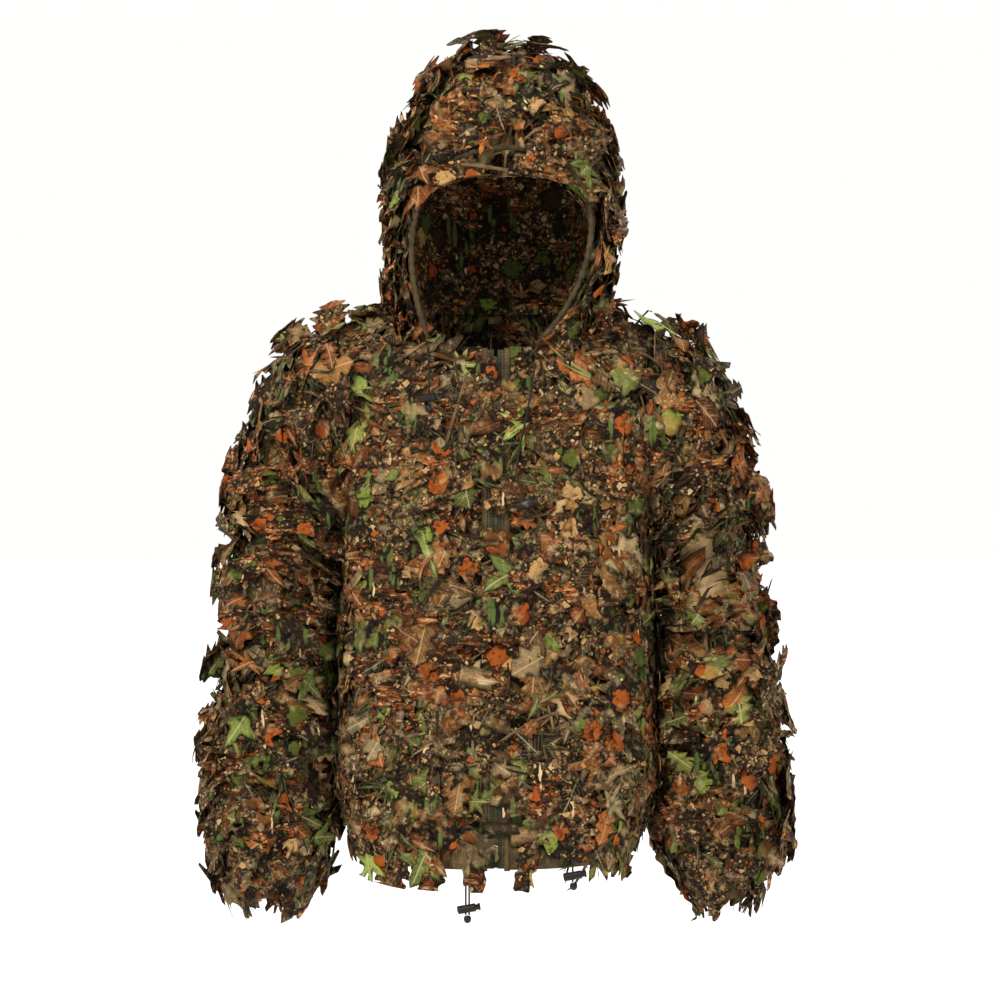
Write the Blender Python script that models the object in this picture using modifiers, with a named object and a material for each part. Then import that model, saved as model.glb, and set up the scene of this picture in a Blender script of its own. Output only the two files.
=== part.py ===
"""Hooded forest-leaf camouflage jacket, the upper half of a ghillie suit.

Metres, +Z up, the front of the jacket faces -Y and the wearer's right arm is at -X.
The origin is the middle of the neck base, where the jacket hangs on the shoulders.
Sheer mesh panels carry a second layer of leaf-cut fabric, made here as a plain
thick shell.  Sleeves bend at shoulder and elbow, the hood folds back at the nape,
the zip slider runs down the front and four sprung cord locks slide on their cords.
"""
import math

import bmesh
import bpy
from mathutils import Matrix, Vector

# ---------------------------------------------------------------- driving dimensions
FABRIC = 0.0012            # thickness of a mesh panel with its turned seams
LEAF_GAP = 0.0006          # clear space between a panel and its leaf layer
LEAF_THICK = 0.0080        # depth that the leaf-cut flaps take up
SEAM_GAP = 0.0014          # each panel stops this short of its seam
SQUARE = 0.8               # exponent of the rounded-square cross-sections
FRONT_COLUMNS = 7
BACK_COLUMNS = 12
ARCH_POINTS = 8
SLEEVE_SIDES = 12

ZIP_TOP = Vector((0.0, -0.095, -0.014))
ZIP_FOOT = Vector((0.0, -0.150, -0.636))
FRONT_EDGE = 0.0168        # the panels start this far from the zip's middle

CORD_RADIUS = 0.0013
HEM_CORD_RADIUS = 0.0011
HEM_STRAND_STEP = 0.0020   # half the distance between the two strands of the hem loop
LOCK_TRAVEL = 0.0026       # how far a cord lock's button is pressed

# Torso levels, top to bottom: height at the side, front middle and back middle,
# half width, back of the torso, angle where the armhole starts, shape of the slope.
TORSO_LEVELS = (
    (0.034, -0.014, 0.042, 0.098, 0.066, 0, 2.0),
    (0.026, -0.038, 0.018, 0.130, 0.088, 0, 1.8),
    (0.016, -0.068, -0.015, 0.161, 0.105, 0, 1.6),
    (0.004, -0.095, -0.055, 0.185, 0.116, 0, 1.4),
    (-0.015, -0.115, -0.085, 0.196, 0.121, 20, 1.2),
    (-0.050, -0.135, -0.115, 0.203, 0.125, 31, 1.0),
    (-0.095, -0.155, -0.140, 0.206, 0.127, 34, 1.0),
    (-0.140, -0.175, -0.168, 0.203, 0.128, 31, 1.0),
    (-0.172, -0.190, -0.188, 0.194, 0.128, 20, 1.0),
    (-0.195, -0.205, -0.203, 0.181, 0.127, 0, 1.0),
    (-0.260, -0.265, -0.262, 0.179, 0.124, 0, 1.0),
    (-0.340, -0.345, -0.342, 0.180, 0.121, 0, 1.0),
    (-0.420, -0.428, -0.422, 0.183, 0.121, 0, 1.0),
    (-0.500, -0.512, -0.502, 0.186, 0.125, 0, 1.0),
    (-0.552, -0.570, -0.554, 0.184, 0.124, 0, 1.0),
    (-0.592, -0.612, -0.592, 0.171, 0.114, 0, 1.0),
)
HEM_HALF_HEIGHT = 0.0105
HEM_HALF_THICK = 0.0035

# Sleeve sections, shoulder to wrist: outer edge (x, z), inner edge (x, z), half depth.
SLEEVE_Y = 0.008
UPPER_SLEEVE = (
    (0.194, 0.006, 0.194, -0.186, 0.076),
    (0.230, -0.009, 0.202, -0.200, 0.073),
    (0.258, -0.042, 0.206, -0.220, 0.069),
    (0.280, -0.092, 0.209, -0.246, 0.065),
    (0.297, -0.170, 0.210, -0.285, 0.062),
    (0.307, -0.262, 0.210, -0.318, 0.061),
    (0.313, -0.345, 0.210, -0.355, 0.061),
)
LOWER_SLEEVE = (
    (0.313, -0.348, 0.210, -0.358, 0.061),
    (0.321, -0.415, 0.209, -0.415, 0.064),
    (0.333, -0.480, 0.209, -0.480, 0.067),
    (0.338, -0.545, 0.210, -0.545, 0.067),
    (0.336, -0.600, 0.212, -0.600, 0.063),
    (0.326, -0.635, 0.222, -0.635, 0.053),
    (0.314, -0.656, 0.236, -0.656, 0.042),
)
CUFF_Z = -0.671
CUFF_HALF_HEIGHT = 0.0125
CUFF_HALF_THICK = 0.0032

# Hood crest from brim to nape (y, z), and how wide each arch's two controls stand.
HOOD_CREST = (
    (-0.118, 0.222), (-0.108, 0.262), (-0.082, 0.305), (-0.042, 0.338),
    (0.006, 0.351), (0.054, 0.340), (0.094, 0.302), (0.117, 0.240),
    (0.118, 0.165), (0.100, 0.098),
)
HOOD_WIDTHS = (
    (0.128, 0.130), (0.130, 0.131), (0.132, 0.128), (0.132, 0.120), (0.130, 0.112),
    (0.126, 0.105), (0.120, 0.098), (0.112, 0.090), (0.100, 0.080), (0.085, 0.062),
)
HOOD_LEAN = 0.012          # the hood sits a little towards the wearer's left
NAPE_ANGLE = 62
OPEN_ANGLE = {-1: -38, 1: -64}
CASING_HALF_DEPTH = 0.0060
CASING_GAP = 0.0015
CASING_HALF_WIDTH = 0.0040

LEAF_INSET = 0.0010        # the leaf layer stops this much short of its panel
HOOD_LEAF_GAP = 0.0020     # the hood's tighter curves need more clear space
HOOD_LEAF_LIFT = 0.35      # share of the first step that the hood's leaves stay up
HEM_GAP = 0.0008
NECK_GAP = 0.0030          # the hood's lower edge stays this far above the neck edge
CREST_DROP = 0.012         # how much the hood falls away beside its crest seam
CASING_TRIM = 0.008
CASING_COLUMNS = 7
SLEEVE_SQUARE = 0.94

SLIDER_START = 0.0260      # distances along the zip from its top
SLIDER_LENGTH = 0.0110
CHAIN_START = 0.0150
# extents of the zip's parts: across from its middle, out from its plane, and how far
# from the top they start and from the foot they stop
TAPE_ACROSS = (0.0030, 0.0098)
TAPE_OUT = (-0.0004, 0.0004)
TAPE_START = 0.010
TAPE_SHORT = 0.001
TEETH_ACROSS = (0.0006, 0.0027)
TEETH_OUT = (-0.0012, 0.0012)
CHAIN_SHORT = 0.017
BINDING_ACROSS = (0.0104, 0.0160)
BINDING_OUT = (-0.0014, 0.0014)
BINDING_START = 0.006
BOX_ACROSS = (-0.0026, 0.0026)
BOX_OUT = (-0.0022, 0.0022)
BOX_TOP = 0.016
BOX_FOOT = 0.002
TAB_BAR_HALF = 0.00055
TAB_BAR_HEIGHT = 0.00425

EYELET_RADIUS = 0.0046
EYELET_WIRE = 0.0009
LOCK_ABOVE_END = 0.0075    # from the cord's end up to the lock's middle
CHEST_STAND_OFF = 0.0158   # a chest cord hangs this far before the zip's line
HOOD_EYELETS = {-1: -50, 1: -70}
HOOD_CORD_POINTS = {-1: 20, 1: 38}
# where each hood cord hangs below its eyelet (x, z), down to its end
HOOD_CORD_DROPS = {
    -1: ((-0.0795, -0.044), (-0.0800, -0.054), (-0.0800, -0.064), (-0.0800, -0.074),
         (-0.0800, -0.084)),
    1: ((0.0440, -0.056), (0.0390, -0.085), (0.0330, -0.115), (0.0270, -0.143),
        (0.0250, -0.166), (0.0290, -0.181), (0.0330, -0.196), (0.0370, -0.211)),
}
HEM_LOOP_ANGLE = -82.5     # where on the hem the cords leave it
HEM_RIGHT_ANGLE = -64
HEM_LOOP_DROP = 0.0560
HOOD_BARRELS = {-1: Vector((0.90, -0.42, 0.10)), 1: Vector((0.966, 0.0, 0.259))}
HEM_BARREL = Vector((0.985, 0.0, 0.173))

SHOULDER_PIVOT = Vector((0.194, SLEEVE_Y, 0.030))
ELBOW_PIVOT = Vector((0.2615, -0.066, -0.350))
HOOD_PIVOT = Vector((0.0, 0.137, 0.036))

LEFT, RIGHT = -1, 1        # sides as seen from the front: -X and +X
SIDE_NAMES = {LEFT: "left", RIGHT: "right"}


# ------------------------------------------------------------------------- utilities
def clear_scene():
    for thing in list(bpy.data.objects):
        bpy.data.objects.remove(thing, do_unlink=True)


def new_collection(name):
    group = bpy.data.collections.new(name)
    bpy.context.scene.collection.children.link(group)
    return group


def make_material(name, colour, roughness, metallic=0.0):
    made = bpy.data.materials.new(name)
    made.use_nodes = True
    shader = made.node_tree.nodes["Principled BSDF"]
    shader.inputs["Base Color"].default_value = (*colour, 1.0)
    shader.inputs["Roughness"].default_value = roughness
    shader.inputs["Metallic"].default_value = metallic
    return made


def add_object(name, data, stuff, group=None, pivot=None):
    """Link a mesh or curve as a part and put its origin on its joint."""
    thing = bpy.data.objects.new(name, data)
    (group or PARTS).objects.link(thing)
    if stuff:
        data.materials.append(MATERIALS[stuff])
    if pivot is not None:
        data.transform(Matrix.Translation(-Vector(pivot)))
        thing.location = pivot
    return thing


def mix(first, second, share):
    return first + (second - first) * share


def power(value, exponent):
    return math.copysign(abs(value) ** exponent, value)


def trim(points, start, end):
    """Shorten a row of points by a length at each end."""
    points = [Vector(point) for point in points]
    points[0] = points[0] + (points[1] - points[0]).normalized() * start
    points[-1] = points[-1] + (points[-2] - points[-1]).normalized() * end
    return points


def smooth_route(points, count):
    """Read evenly spaced points from a Catmull-Rom curve through the route."""
    points = [Vector(point) for point in points]
    ends = [points[0] * 2 - points[1]] + points + [points[-1] * 2 - points[-2]]
    fine = []
    for index in range(1, len(ends) - 2):
        before, here, there, after = ends[index - 1:index + 3]
        for step in range(16):
            t = step / 16
            fine.append(0.5 * (
                here * 2 + (there - before) * t
                + (before * 2 - here * 5 + there * 4 - after) * t ** 2
                + (here * 3 - before - there * 3 + after) * t ** 3
            ))
    fine.append(points[-1])
    return even_points(fine, count)


def even_points(points, count):
    lengths = [0.0]
    for first, second in zip(points, points[1:]):
        lengths.append(lengths[-1] + (second - first).length)
    result = []
    at = 0
    for step in range(count):
        wanted = lengths[-1] * step / (count - 1)
        while at < len(points) - 2 and lengths[at + 1] < wanted:
            at += 1
        share = (wanted - lengths[at]) / (lengths[at + 1] - lengths[at])
        result.append(mix(points[at], points[at + 1], share))
    return result


# ----------------------------------------------------------------------- fabric shells
def grid_mesh(rows, closed, inside, lift):
    """A sheet through rows of points, facing away from an inside point."""
    sheet = bmesh.new()
    placed = [[sheet.verts.new(point) for point in row] for row in rows]
    for upper, lower in zip(placed, placed[1:]):
        count = len(upper)
        for index in range(count if closed else count - 1):
            after = (index + 1) % count
            sheet.faces.new((upper[index], upper[after], lower[after], lower[index]))
    sheet.normal_update()
    outward = 0.0
    for face in sheet.faces:
        middle = face.calc_center_median()
        target = inside(middle) if callable(inside) else inside
        outward += face.normal.dot(middle - target) * face.calc_area()
    if outward < 0:
        bmesh.ops.reverse_faces(sheet, faces=sheet.faces[:])
        sheet.normal_update()
    moves = [vert.normal * lift for vert in sheet.verts]
    for vert, move in zip(sheet.verts, moves):
        vert.co += move
    return sheet


def shell(name, rows, stuff, thickness, inside, lift=0.0, outward=False,
          closed=False, pivot=None):
    """A thin closed body: an open sheet with a Solidify modifier."""
    sheet = grid_mesh(rows, closed, inside, lift)
    data = bpy.data.meshes.new(name)
    sheet.to_mesh(data)
    sheet.free()
    data.shade_smooth()
    thing = add_object(name, data, stuff, pivot=pivot)
    wall = thing.modifiers.new("thickness", "SOLIDIFY")
    wall.thickness = thickness
    wall.offset = 1.0 if outward else -1.0
    wall.use_even_offset = True
    return thing


def casing(name, path, slit_way, half_depth, half_height, stuff, closed=False,
           pivot=None, wall=0.0010):
    """A folded channel along a path, open along a slit on the slit_way side."""
    rows = []
    centres = []
    count = len(path)
    for index, centre in enumerate(path):
        after = path[(index + 1) % count] if closed else path[min(index + 1, count - 1)]
        before = path[index - 1] if closed or index else path[0]
        along = (after - before).normalized()
        slit = slit_way(centre)
        slit = (slit - along * slit.dot(along)).normalized()
        across = along.cross(slit)
        row = []
        for step in range(CASING_COLUMNS):
            angle = math.radians(mix(24, 336, step / (CASING_COLUMNS - 1)))
            row.append(centre + slit * math.cos(angle) * half_depth
                       + across * math.sin(angle) * half_height)
        rows.append(row)
        centres.append(centre)
    if closed:
        rows.append(rows[0])

    def nearest_centre(point):
        return min(centres, key=lambda centre: (centre - point).length)

    thing = shell(name, rows, stuff, wall, nearest_centre, pivot=pivot)
    if closed:
        weld = bmesh.new()
        weld.from_mesh(thing.data)
        bmesh.ops.remove_doubles(weld, verts=weld.verts, dist=0.00001)
        weld.to_mesh(thing.data)
        weld.free()
    return thing


def tube(name, points, radius, stuff, closed=False, pivot=None):
    data = bpy.data.curves.new(name, "CURVE")
    data.dimensions = "3D"
    data.bevel_depth = radius
    data.bevel_resolution = 2
    data.use_fill_caps = not closed
    spline = data.splines.new("POLY")
    spline.points.add(len(points) - 1)
    for place, point in zip(spline.points, points):
        place.co = (*point, 1.0)
    spline.use_cyclic_u = closed
    return add_object(name, data, stuff, pivot=pivot)


# -------------------------------------------------------------------------------- torso
def front_line(z):
    """Depth of the straight front edge, where the zip runs, at a height."""
    share = (ZIP_TOP.z - z) / (ZIP_TOP.z - ZIP_FOOT.z)
    return mix(ZIP_TOP.y, ZIP_FOOT.y, share)


def torso_point(level, degrees, side):
    """A point of a level: -90 degrees is the front middle, 0 the side, 90 the back."""
    z_side, z_front, z_back, half_width, y_back, _, slope = level
    y_front = front_line(z_front)
    angle = math.radians(degrees)
    cosine, sine = math.cos(angle), math.sin(angle)
    x = side * half_width * power(cosine, SQUARE)
    y = (y_front + y_back) / 2 + (y_back - y_front) / 2 * power(sine, SQUARE)
    z_middle = z_front if sine < 0 else z_back
    z = z_middle + (z_side - z_middle) * (1 - abs(sine)) ** slope
    return Vector((x, y, z))


def around(level, degrees):
    """The same from the left of the zip, over the left side and back, to its right."""
    if degrees <= 90:
        return torso_point(level, degrees, LEFT)
    return torso_point(level, 180 - degrees, RIGHT)


def front_edge_angle(level):
    """Angle at which a level reaches the edge beside the zip."""
    return -math.degrees(math.acos((FRONT_EDGE / level[3]) ** (1 / SQUARE)))


def front_row(level, side):
    start = front_edge_angle(level)
    end = -level[5]
    row = [torso_point(level, mix(start, end, step / (FRONT_COLUMNS - 1)), side)
           for step in range(FRONT_COLUMNS)]
    return trim(row, 0.0, 0.0 if level[5] else SEAM_GAP)


def back_row(level):
    first = level[5]
    row = [around(level, mix(first, 180 - first, step / (BACK_COLUMNS - 1)))
           for step in range(BACK_COLUMNS)]
    gap = 0.0 if level[5] else SEAM_GAP
    return trim(row, gap, gap)


def torso_inside(point):
    return Vector((0.0, 0.0, min(point.z, -0.12)))


def leaf_rows(rows, drop):
    """Start the leaf layer below its panel's upper edge and short of its seams."""
    first = [mix(upper, lower, drop) for upper, lower in zip(rows[0], rows[1])]
    return [trim(row, LEAF_INSET, LEAF_INSET) for row in [first] + rows[1:]]


def make_torso():
    for side in (LEFT, RIGHT):
        rows = [front_row(level, side) for level in TORSO_LEVELS]
        shell(f"front_panel_{SIDE_NAMES[side]}", rows, "mesh", FABRIC, torso_inside)
        shell(f"front_leaf_layer_{SIDE_NAMES[side]}", leaf_rows(rows, 0.9), "leaf",
              LEAF_THICK, torso_inside, LEAF_GAP, outward=True)
    rows = [back_row(level) for level in TORSO_LEVELS]
    shell("back_panel", rows, "mesh", FABRIC, torso_inside)
    shell("back_leaf_layer", leaf_rows(rows, 0.9), "leaf", LEAF_THICK, torso_inside,
          LEAF_GAP, outward=True)


def hem_path(count, inward=0.0):
    """The middle of the hem casing, from one side of the zip to the other."""
    level = TORSO_LEVELS[-1]
    start = front_edge_angle(level)
    row = [around(level, mix(start, 180 - start, step / (count - 1)))
           for step in range(count)]
    drop = Vector((0.0, 0.0, -(HEM_HALF_HEIGHT + HEM_GAP)))
    return trim([point + drop for point in row], inward, inward)


def make_hem():
    def towards_middle(point):
        return Vector((-point.x, -point.y, 0.0))

    casing("hem_casing", hem_path(26), towards_middle, HEM_HALF_THICK,
           HEM_HALF_HEIGHT, "binding")
    tube("hem_elastic_cord", hem_path(26, 0.002), HEM_CORD_RADIUS, "cord")


# --------------------------------------------------------------------------------- hood
def neck_point(degrees, side):
    point = torso_point(TORSO_LEVELS[0], degrees, side)
    return point + Vector((0.0, 0.0, NECK_GAP))


def hood_arch(index, side, count):
    """One arch of the hood from the neck seam up to the crest seam."""
    share = index / len(HOOD_CREST)
    foot = neck_point(mix(OPEN_ANGLE[side], NAPE_ANGLE, share), side)
    crest_y, crest_z = HOOD_CREST[index]
    lean = HOOD_LEAN * min(1.0, crest_z / 0.2)
    crest = Vector((lean, crest_y, crest_z))
    low_width, high_width = HOOD_WIDTHS[index]
    low = Vector((lean + side * low_width, mix(foot.y, crest.y, 0.35),
                  mix(foot.z, crest.z, 0.40)))
    drop = CREST_DROP if index else 0.0
    high = Vector((lean + side * high_width, crest.y, crest.z - drop))
    arch = []
    for step in range(count):
        t = step / (count - 1)
        arch.append(foot * (1 - t) ** 3 + low * 3 * t * (1 - t) ** 2
                    + high * 3 * t ** 2 * (1 - t) + crest * t ** 3)
    return arch


def hood_rows(side):
    """Rows of points from the face opening round to the nape."""
    back_by = Vector((0.0, CASING_HALF_DEPTH + CASING_GAP, 0.0))
    rows = [[point + back_by for point in hood_arch(0, side, ARCH_POINTS)]]
    rows += [hood_arch(index, side, ARCH_POINTS) for index in range(1, len(HOOD_CREST))]
    rows.append([neck_point(mix(NAPE_ANGLE, 90, step / (ARCH_POINTS - 1)), side)
                 for step in range(ARCH_POINTS)])
    return [trim(row, 0.0, SEAM_GAP) for row in rows]


def opening_path(side_count):
    """The face opening's edge, from its left foot over the brim to its right foot."""
    left = hood_arch(0, LEFT, side_count)
    right = hood_arch(0, RIGHT, side_count)
    return trim(left + right[-2::-1], CASING_TRIM, CASING_TRIM)


def make_hood():
    middle = Vector((HOOD_LEAN, 0.0, 0.16))
    for side in (LEFT, RIGHT):
        rows = hood_rows(side)
        shell(f"hood_panel_{SIDE_NAMES[side]}", rows, "mesh", FABRIC, middle,
              pivot=HOOD_PIVOT)
        raised = []
        for row in leaf_rows(rows[:-1], 0.85):
            raised.append([mix(row[0], row[1], HOOD_LEAF_LIFT)] + row[1:])
        shell(f"hood_leaf_layer_{SIDE_NAMES[side]}", raised, "leaf", LEAF_THICK, middle,
              HOOD_LEAF_GAP, outward=True, pivot=HOOD_PIVOT)

    def backwards(point):
        return Vector((0.0, 1.0, 0.0))

    casing("hood_opening_casing", opening_path(10), backwards, CASING_HALF_DEPTH,
           CASING_HALF_WIDTH, "binding", pivot=HOOD_PIVOT)
    tube("hood_drawcord_in_casing", opening_path(10), CORD_RADIUS,
         "cord", pivot=HOOD_PIVOT)


# ------------------------------------------------------------------------------ sleeves
def sleeve_ring(section, side):
    outer_x, outer_z, inner_x, inner_z, half_depth = section
    middle = Vector((side * (outer_x + inner_x) / 2, SLEEVE_Y, (outer_z + inner_z) / 2))
    reach = Vector((side * (outer_x - inner_x) / 2, 0.0, (outer_z - inner_z) / 2))
    depth = Vector((0.0, half_depth, 0.0))
    ring = []
    for step in range(SLEEVE_SIDES):
        angle = math.tau * step / SLEEVE_SIDES
        ring.append(middle + reach * power(math.cos(angle), SLEEVE_SQUARE)
                    + depth * power(math.sin(angle), SLEEVE_SQUARE))
    return ring


def make_sleeve_part(name, sections, side, pivot, skip):
    rings = [sleeve_ring(section, side) for section in sections]
    centres = [sum(ring, Vector()) / len(ring) for ring in rings]

    def inside(point):
        return min(centres, key=lambda centre: (centre - point).length)

    side_name = SIDE_NAMES[side]
    shell(f"{name}_{side_name}", rings, "mesh", FABRIC, inside, closed=True, pivot=pivot)
    shell(f"{name}_leaf_layer_{side_name}", rings[skip:], "leaf", LEAF_THICK, inside,
          LEAF_GAP, outward=True, closed=True, pivot=pivot)


def cuff_ring(side, count, z=CUFF_Z, inset=0.0):
    outer_x, _, inner_x, _, half_depth = LOWER_SLEEVE[-1]
    middle = Vector((side * (outer_x + inner_x) / 2, SLEEVE_Y, z))
    return [middle + Vector((math.cos(angle) * ((outer_x - inner_x) / 2 - inset),
                             math.sin(angle) * (half_depth - inset), 0.0))
            for angle in (math.tau * step / count for step in range(count))]


def make_sleeves():
    for side in (LEFT, RIGHT):
        shoulder = mirrored(SHOULDER_PIVOT, side)
        elbow = mirrored(ELBOW_PIVOT, side)
        make_sleeve_part("upper_sleeve", UPPER_SLEEVE, side, shoulder, 1)
        make_sleeve_part("lower_sleeve", LOWER_SLEEVE, side, elbow, 0)
        middle = cuff_ring(side, 2)[0] * 0.5 + cuff_ring(side, 2)[1] * 0.5

        def towards_middle(point, middle=middle):
            return middle - point

        casing(f"cuff_casing_{SIDE_NAMES[side]}", cuff_ring(side, 16), towards_middle,
               CUFF_HALF_THICK, CUFF_HALF_HEIGHT, "binding", closed=True, pivot=elbow)
        band = [cuff_ring(side, 16, CUFF_Z + lift) for lift in (-0.008, 0.008)]
        shell(f"cuff_elastic_{SIDE_NAMES[side]}", band, "elastic", 0.001, middle,
              closed=True, pivot=elbow)


def mirrored(point, side):
    return Vector((point.x * side, point.y, point.z))


# ---------------------------------------------------------------------------------- zip
def zip_frame():
    """Axes of the zip: across, down along it and out of the chest, at its top."""
    down = (ZIP_FOOT - ZIP_TOP).normalized()
    out = Vector((0.0, down.z, -down.y))
    across = Vector((-1.0, 0.0, 0.0))
    return Matrix((
        (across.x, down.x, out.x, ZIP_TOP.x),
        (across.y, down.y, out.y, ZIP_TOP.y),
        (across.z, down.z, out.z, ZIP_TOP.z),
        (0.0, 0.0, 0.0, 1.0),
    ))


def zip_block(name, side, across, along, out, stuff):
    """A bar beside the zip's middle, given by its extents across, along and out."""
    near, far = sorted(-side * distance for distance in across)
    data = box_mesh((near, along[0], out[0]), (far, along[1], out[1]))
    data.transform(zip_frame())
    return add_object(name, data, stuff)


def flat_plate(outlines, thickness):
    """A 2D outline, with any holes as further outlines, given a thickness."""
    data = bpy.data.curves.new("plate", "CURVE")
    data.dimensions = "2D"
    data.fill_mode = "BOTH"
    data.extrude = thickness / 2
    for outline in outlines:
        spline = data.splines.new("POLY")
        spline.points.add(len(outline) - 1)
        for place, (x, y) in zip(spline.points, outline):
            place.co = (x, y, 0.0, 1.0)
        spline.use_cyclic_u = True
    thing = bpy.data.objects.new("plate", data)
    bpy.context.scene.collection.objects.link(thing)
    mesh = as_mesh(thing)
    bpy.data.objects.remove(thing)
    return mesh


def as_mesh(thing):
    """The evaluated mesh of an object, with the loose caps of a curve welded."""
    bpy.context.view_layer.update()
    mesh = bpy.data.meshes.new_from_object(
        thing.evaluated_get(bpy.context.evaluated_depsgraph_get()))
    weld = bmesh.new()
    weld.from_mesh(mesh)
    bmesh.ops.remove_doubles(weld, verts=weld.verts, dist=0.00001)
    bmesh.ops.recalc_face_normals(weld, faces=weld.faces[:])
    weld.to_mesh(mesh)
    weld.free()
    return mesh


def add_boolean(thing, operation, other):
    cut = thing.modifiers.new(operation.lower(), "BOOLEAN")
    cut.operation = operation
    cut.object = other
    cut.solver = "EXACT"


def add_cutter(name, mesh):
    cutter = add_object(name, mesh, None, CUTTERS)
    cutter.hide_render = True
    cutter.display_type = "WIRE"
    return cutter


def slider_mesh():
    """I-shaped slider body with its lips, joined to the bail that holds the tab."""
    wide, lip = 0.0046, 0.0037
    high, low, tip, web = 0.0027, 0.0017, 0.0009, 0.0003
    quarter = [(wide, high), (wide, tip), (lip, tip), (lip, low), (web, low)]
    right = quarter + [(x, -y) for x, y in reversed(quarter)]
    outline = right + [(-x, -y) for x, y in right]
    body = flat_plate([outline], SLIDER_LENGTH)
    # the outline's plane is across and out, its thickness runs along the zip
    body.transform(Matrix(((1, 0, 0, 0), (0, 0, -1, 0), (0, 1, 0, 0), (0, 0, 0, 1))))
    bail_outline = [(-0.0035, 0.0025), (0.0035, 0.0025), (0.0035, 0.0055),
                    (0.0025, 0.0063), (-0.0025, 0.0063), (-0.0035, 0.0055)]
    window = [(-0.0022, 0.0032), (0.0022, 0.0032), (0.0022, 0.0053), (-0.0022, 0.0053)]
    bail = flat_plate([bail_outline, window], 0.0012)
    # the outline's plane is along and out, its thickness runs across the zip
    bail.transform(Matrix(((0, 0, 1, 0), (1, 0, 0, 0), (0, 1, 0, 0), (0, 0, 0, 1))))
    base = bpy.data.objects.new("slider_base", body)
    bpy.context.scene.collection.objects.link(base)
    add_boolean(base, "UNION", add_cutter("slider_bail", bail))
    mesh = as_mesh(base)
    bpy.data.objects.remove(base)
    return mesh


def make_zip():
    foot = (ZIP_FOOT - ZIP_TOP).length
    for side in (LEFT, RIGHT):
        name = SIDE_NAMES[side]
        zip_block(f"zip_tape_{name}", side, TAPE_ACROSS, (TAPE_START, foot - TAPE_SHORT),
                  TAPE_OUT, "tape")
        zip_block(f"zip_teeth_{name}", side, TEETH_ACROSS, (CHAIN_START, foot - CHAIN_SHORT),
                  TEETH_OUT, "teeth")
        zip_block(f"front_edge_binding_{name}", side, BINDING_ACROSS, (BINDING_START, foot),
                  BINDING_OUT, "binding")
    zip_block("zip_retainer_box", RIGHT, BOX_ACROSS, (foot - BOX_TOP, foot - BOX_FOOT),
              BOX_OUT, "plastic")
    slide = zip_frame() @ Matrix.Translation((0.0, SLIDER_START, 0.0))
    slider = add_object("zip_slider", slider_mesh(), "metal")
    slider.matrix_world = slide
    bar = TAB_BAR_HALF
    tab_outline = [(-0.0024, -bar), (0.0024, -bar), (0.0024, 0.008), (0.0032, 0.012),
                   (0.0032, 0.022), (0.0018, 0.024), (-0.0018, 0.024), (-0.0032, 0.022),
                   (-0.0032, 0.012), (-0.0024, 0.008)]
    window = [(-0.0012, bar), (0.0012, bar), (0.0012, 0.0052), (-0.0012, 0.0052)]
    tab = add_object("zip_pull_tab", flat_plate([tab_outline, window], 0.0010), "metal")
    tab.matrix_world = slide @ Matrix.Translation((0.0, 0.0, TAB_BAR_HEIGHT))


# ---------------------------------------------------------------------- cords and locks
def turned(name, profile, steps):
    """A solid of revolution about Z from a profile that ends on the axis."""
    data = bpy.data.meshes.new(name)
    edges = [(index, index + 1) for index in range(len(profile) - 1)]
    data.from_pydata([(radius, 0.0, height) for radius, height in profile], edges, [])
    thing = bpy.data.objects.new(name, data)
    bpy.context.scene.collection.objects.link(thing)
    screw = thing.modifiers.new("turn", "SCREW")
    screw.steps = steps
    screw.render_steps = steps
    screw.use_merge_vertices = True
    screw.merge_threshold = 0.00001
    mesh = as_mesh(thing)
    bpy.data.objects.remove(thing)
    return mesh


def box_mesh(low, high):
    block = bmesh.new()
    bmesh.ops.create_cube(block, size=1.0)
    for vert in block.verts:
        vert.co = Vector([mix(low[axis], high[axis], vert.co[axis] + 0.5)
                          for axis in range(3)])
    data = bpy.data.meshes.new("box")
    block.to_mesh(data)
    block.free()
    return data


def cut_mesh(name, mesh, cutter_mesh):
    base = bpy.data.objects.new(name, mesh)
    bpy.context.scene.collection.objects.link(base)
    add_boolean(base, "DIFFERENCE", add_cutter(f"{name}_hole", cutter_mesh))
    result = as_mesh(base)
    bpy.data.objects.remove(base)
    return result


def lock_body_mesh():
    """A barrel with a blind bore for the button and a cross slot for the cord."""
    profile = [(0.0, -0.0104), (0.0038, -0.0104), (0.0038, 0.0100), (0.0043, 0.0100),
               (0.0050, 0.0090), (0.0050, -0.0108), (0.0036, -0.0122), (0.0, -0.0122)]
    slot = box_mesh((-0.007, -0.0016, -0.0043), (0.007, 0.0016, 0.0043))
    return cut_mesh("lock_body", turned("barrel", profile, 14), slot)


def lock_button_mesh():
    """The button and its stem, slotted so that the cord passes at any press."""
    profile = [(0.0, 0.0155), (0.0036, 0.0155), (0.0046, 0.0145), (0.0046, 0.0131),
               (0.0034, 0.0131), (0.0034, -0.0055), (0.0, -0.0055)]
    slot = box_mesh((-0.006, -0.0016, -0.0043), (0.006, 0.0016, 0.0043 + LOCK_TRAVEL))
    return cut_mesh("lock_button", turned("stem", profile, 12), slot)


def spring_curve():
    """A compression spring under the button."""
    turns, low, high, radius, wire = 2.5, -0.0100, -0.0059, 0.0026, 0.00025
    data = bpy.data.curves.new("spring", "CURVE")
    data.dimensions = "3D"
    data.bevel_depth = wire
    data.bevel_resolution = 2
    data.use_fill_caps = True
    count = int(turns * 8) + 1
    spline = data.splines.new("POLY")
    spline.points.add(count - 1)
    for index, place in enumerate(spline.points):
        angle = math.tau * turns * index / (count - 1)
        height = mix(low, high, index / (count - 1))
        place.co = (radius * math.cos(angle), radius * math.sin(angle), height, 1.0)
    return data


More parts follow.
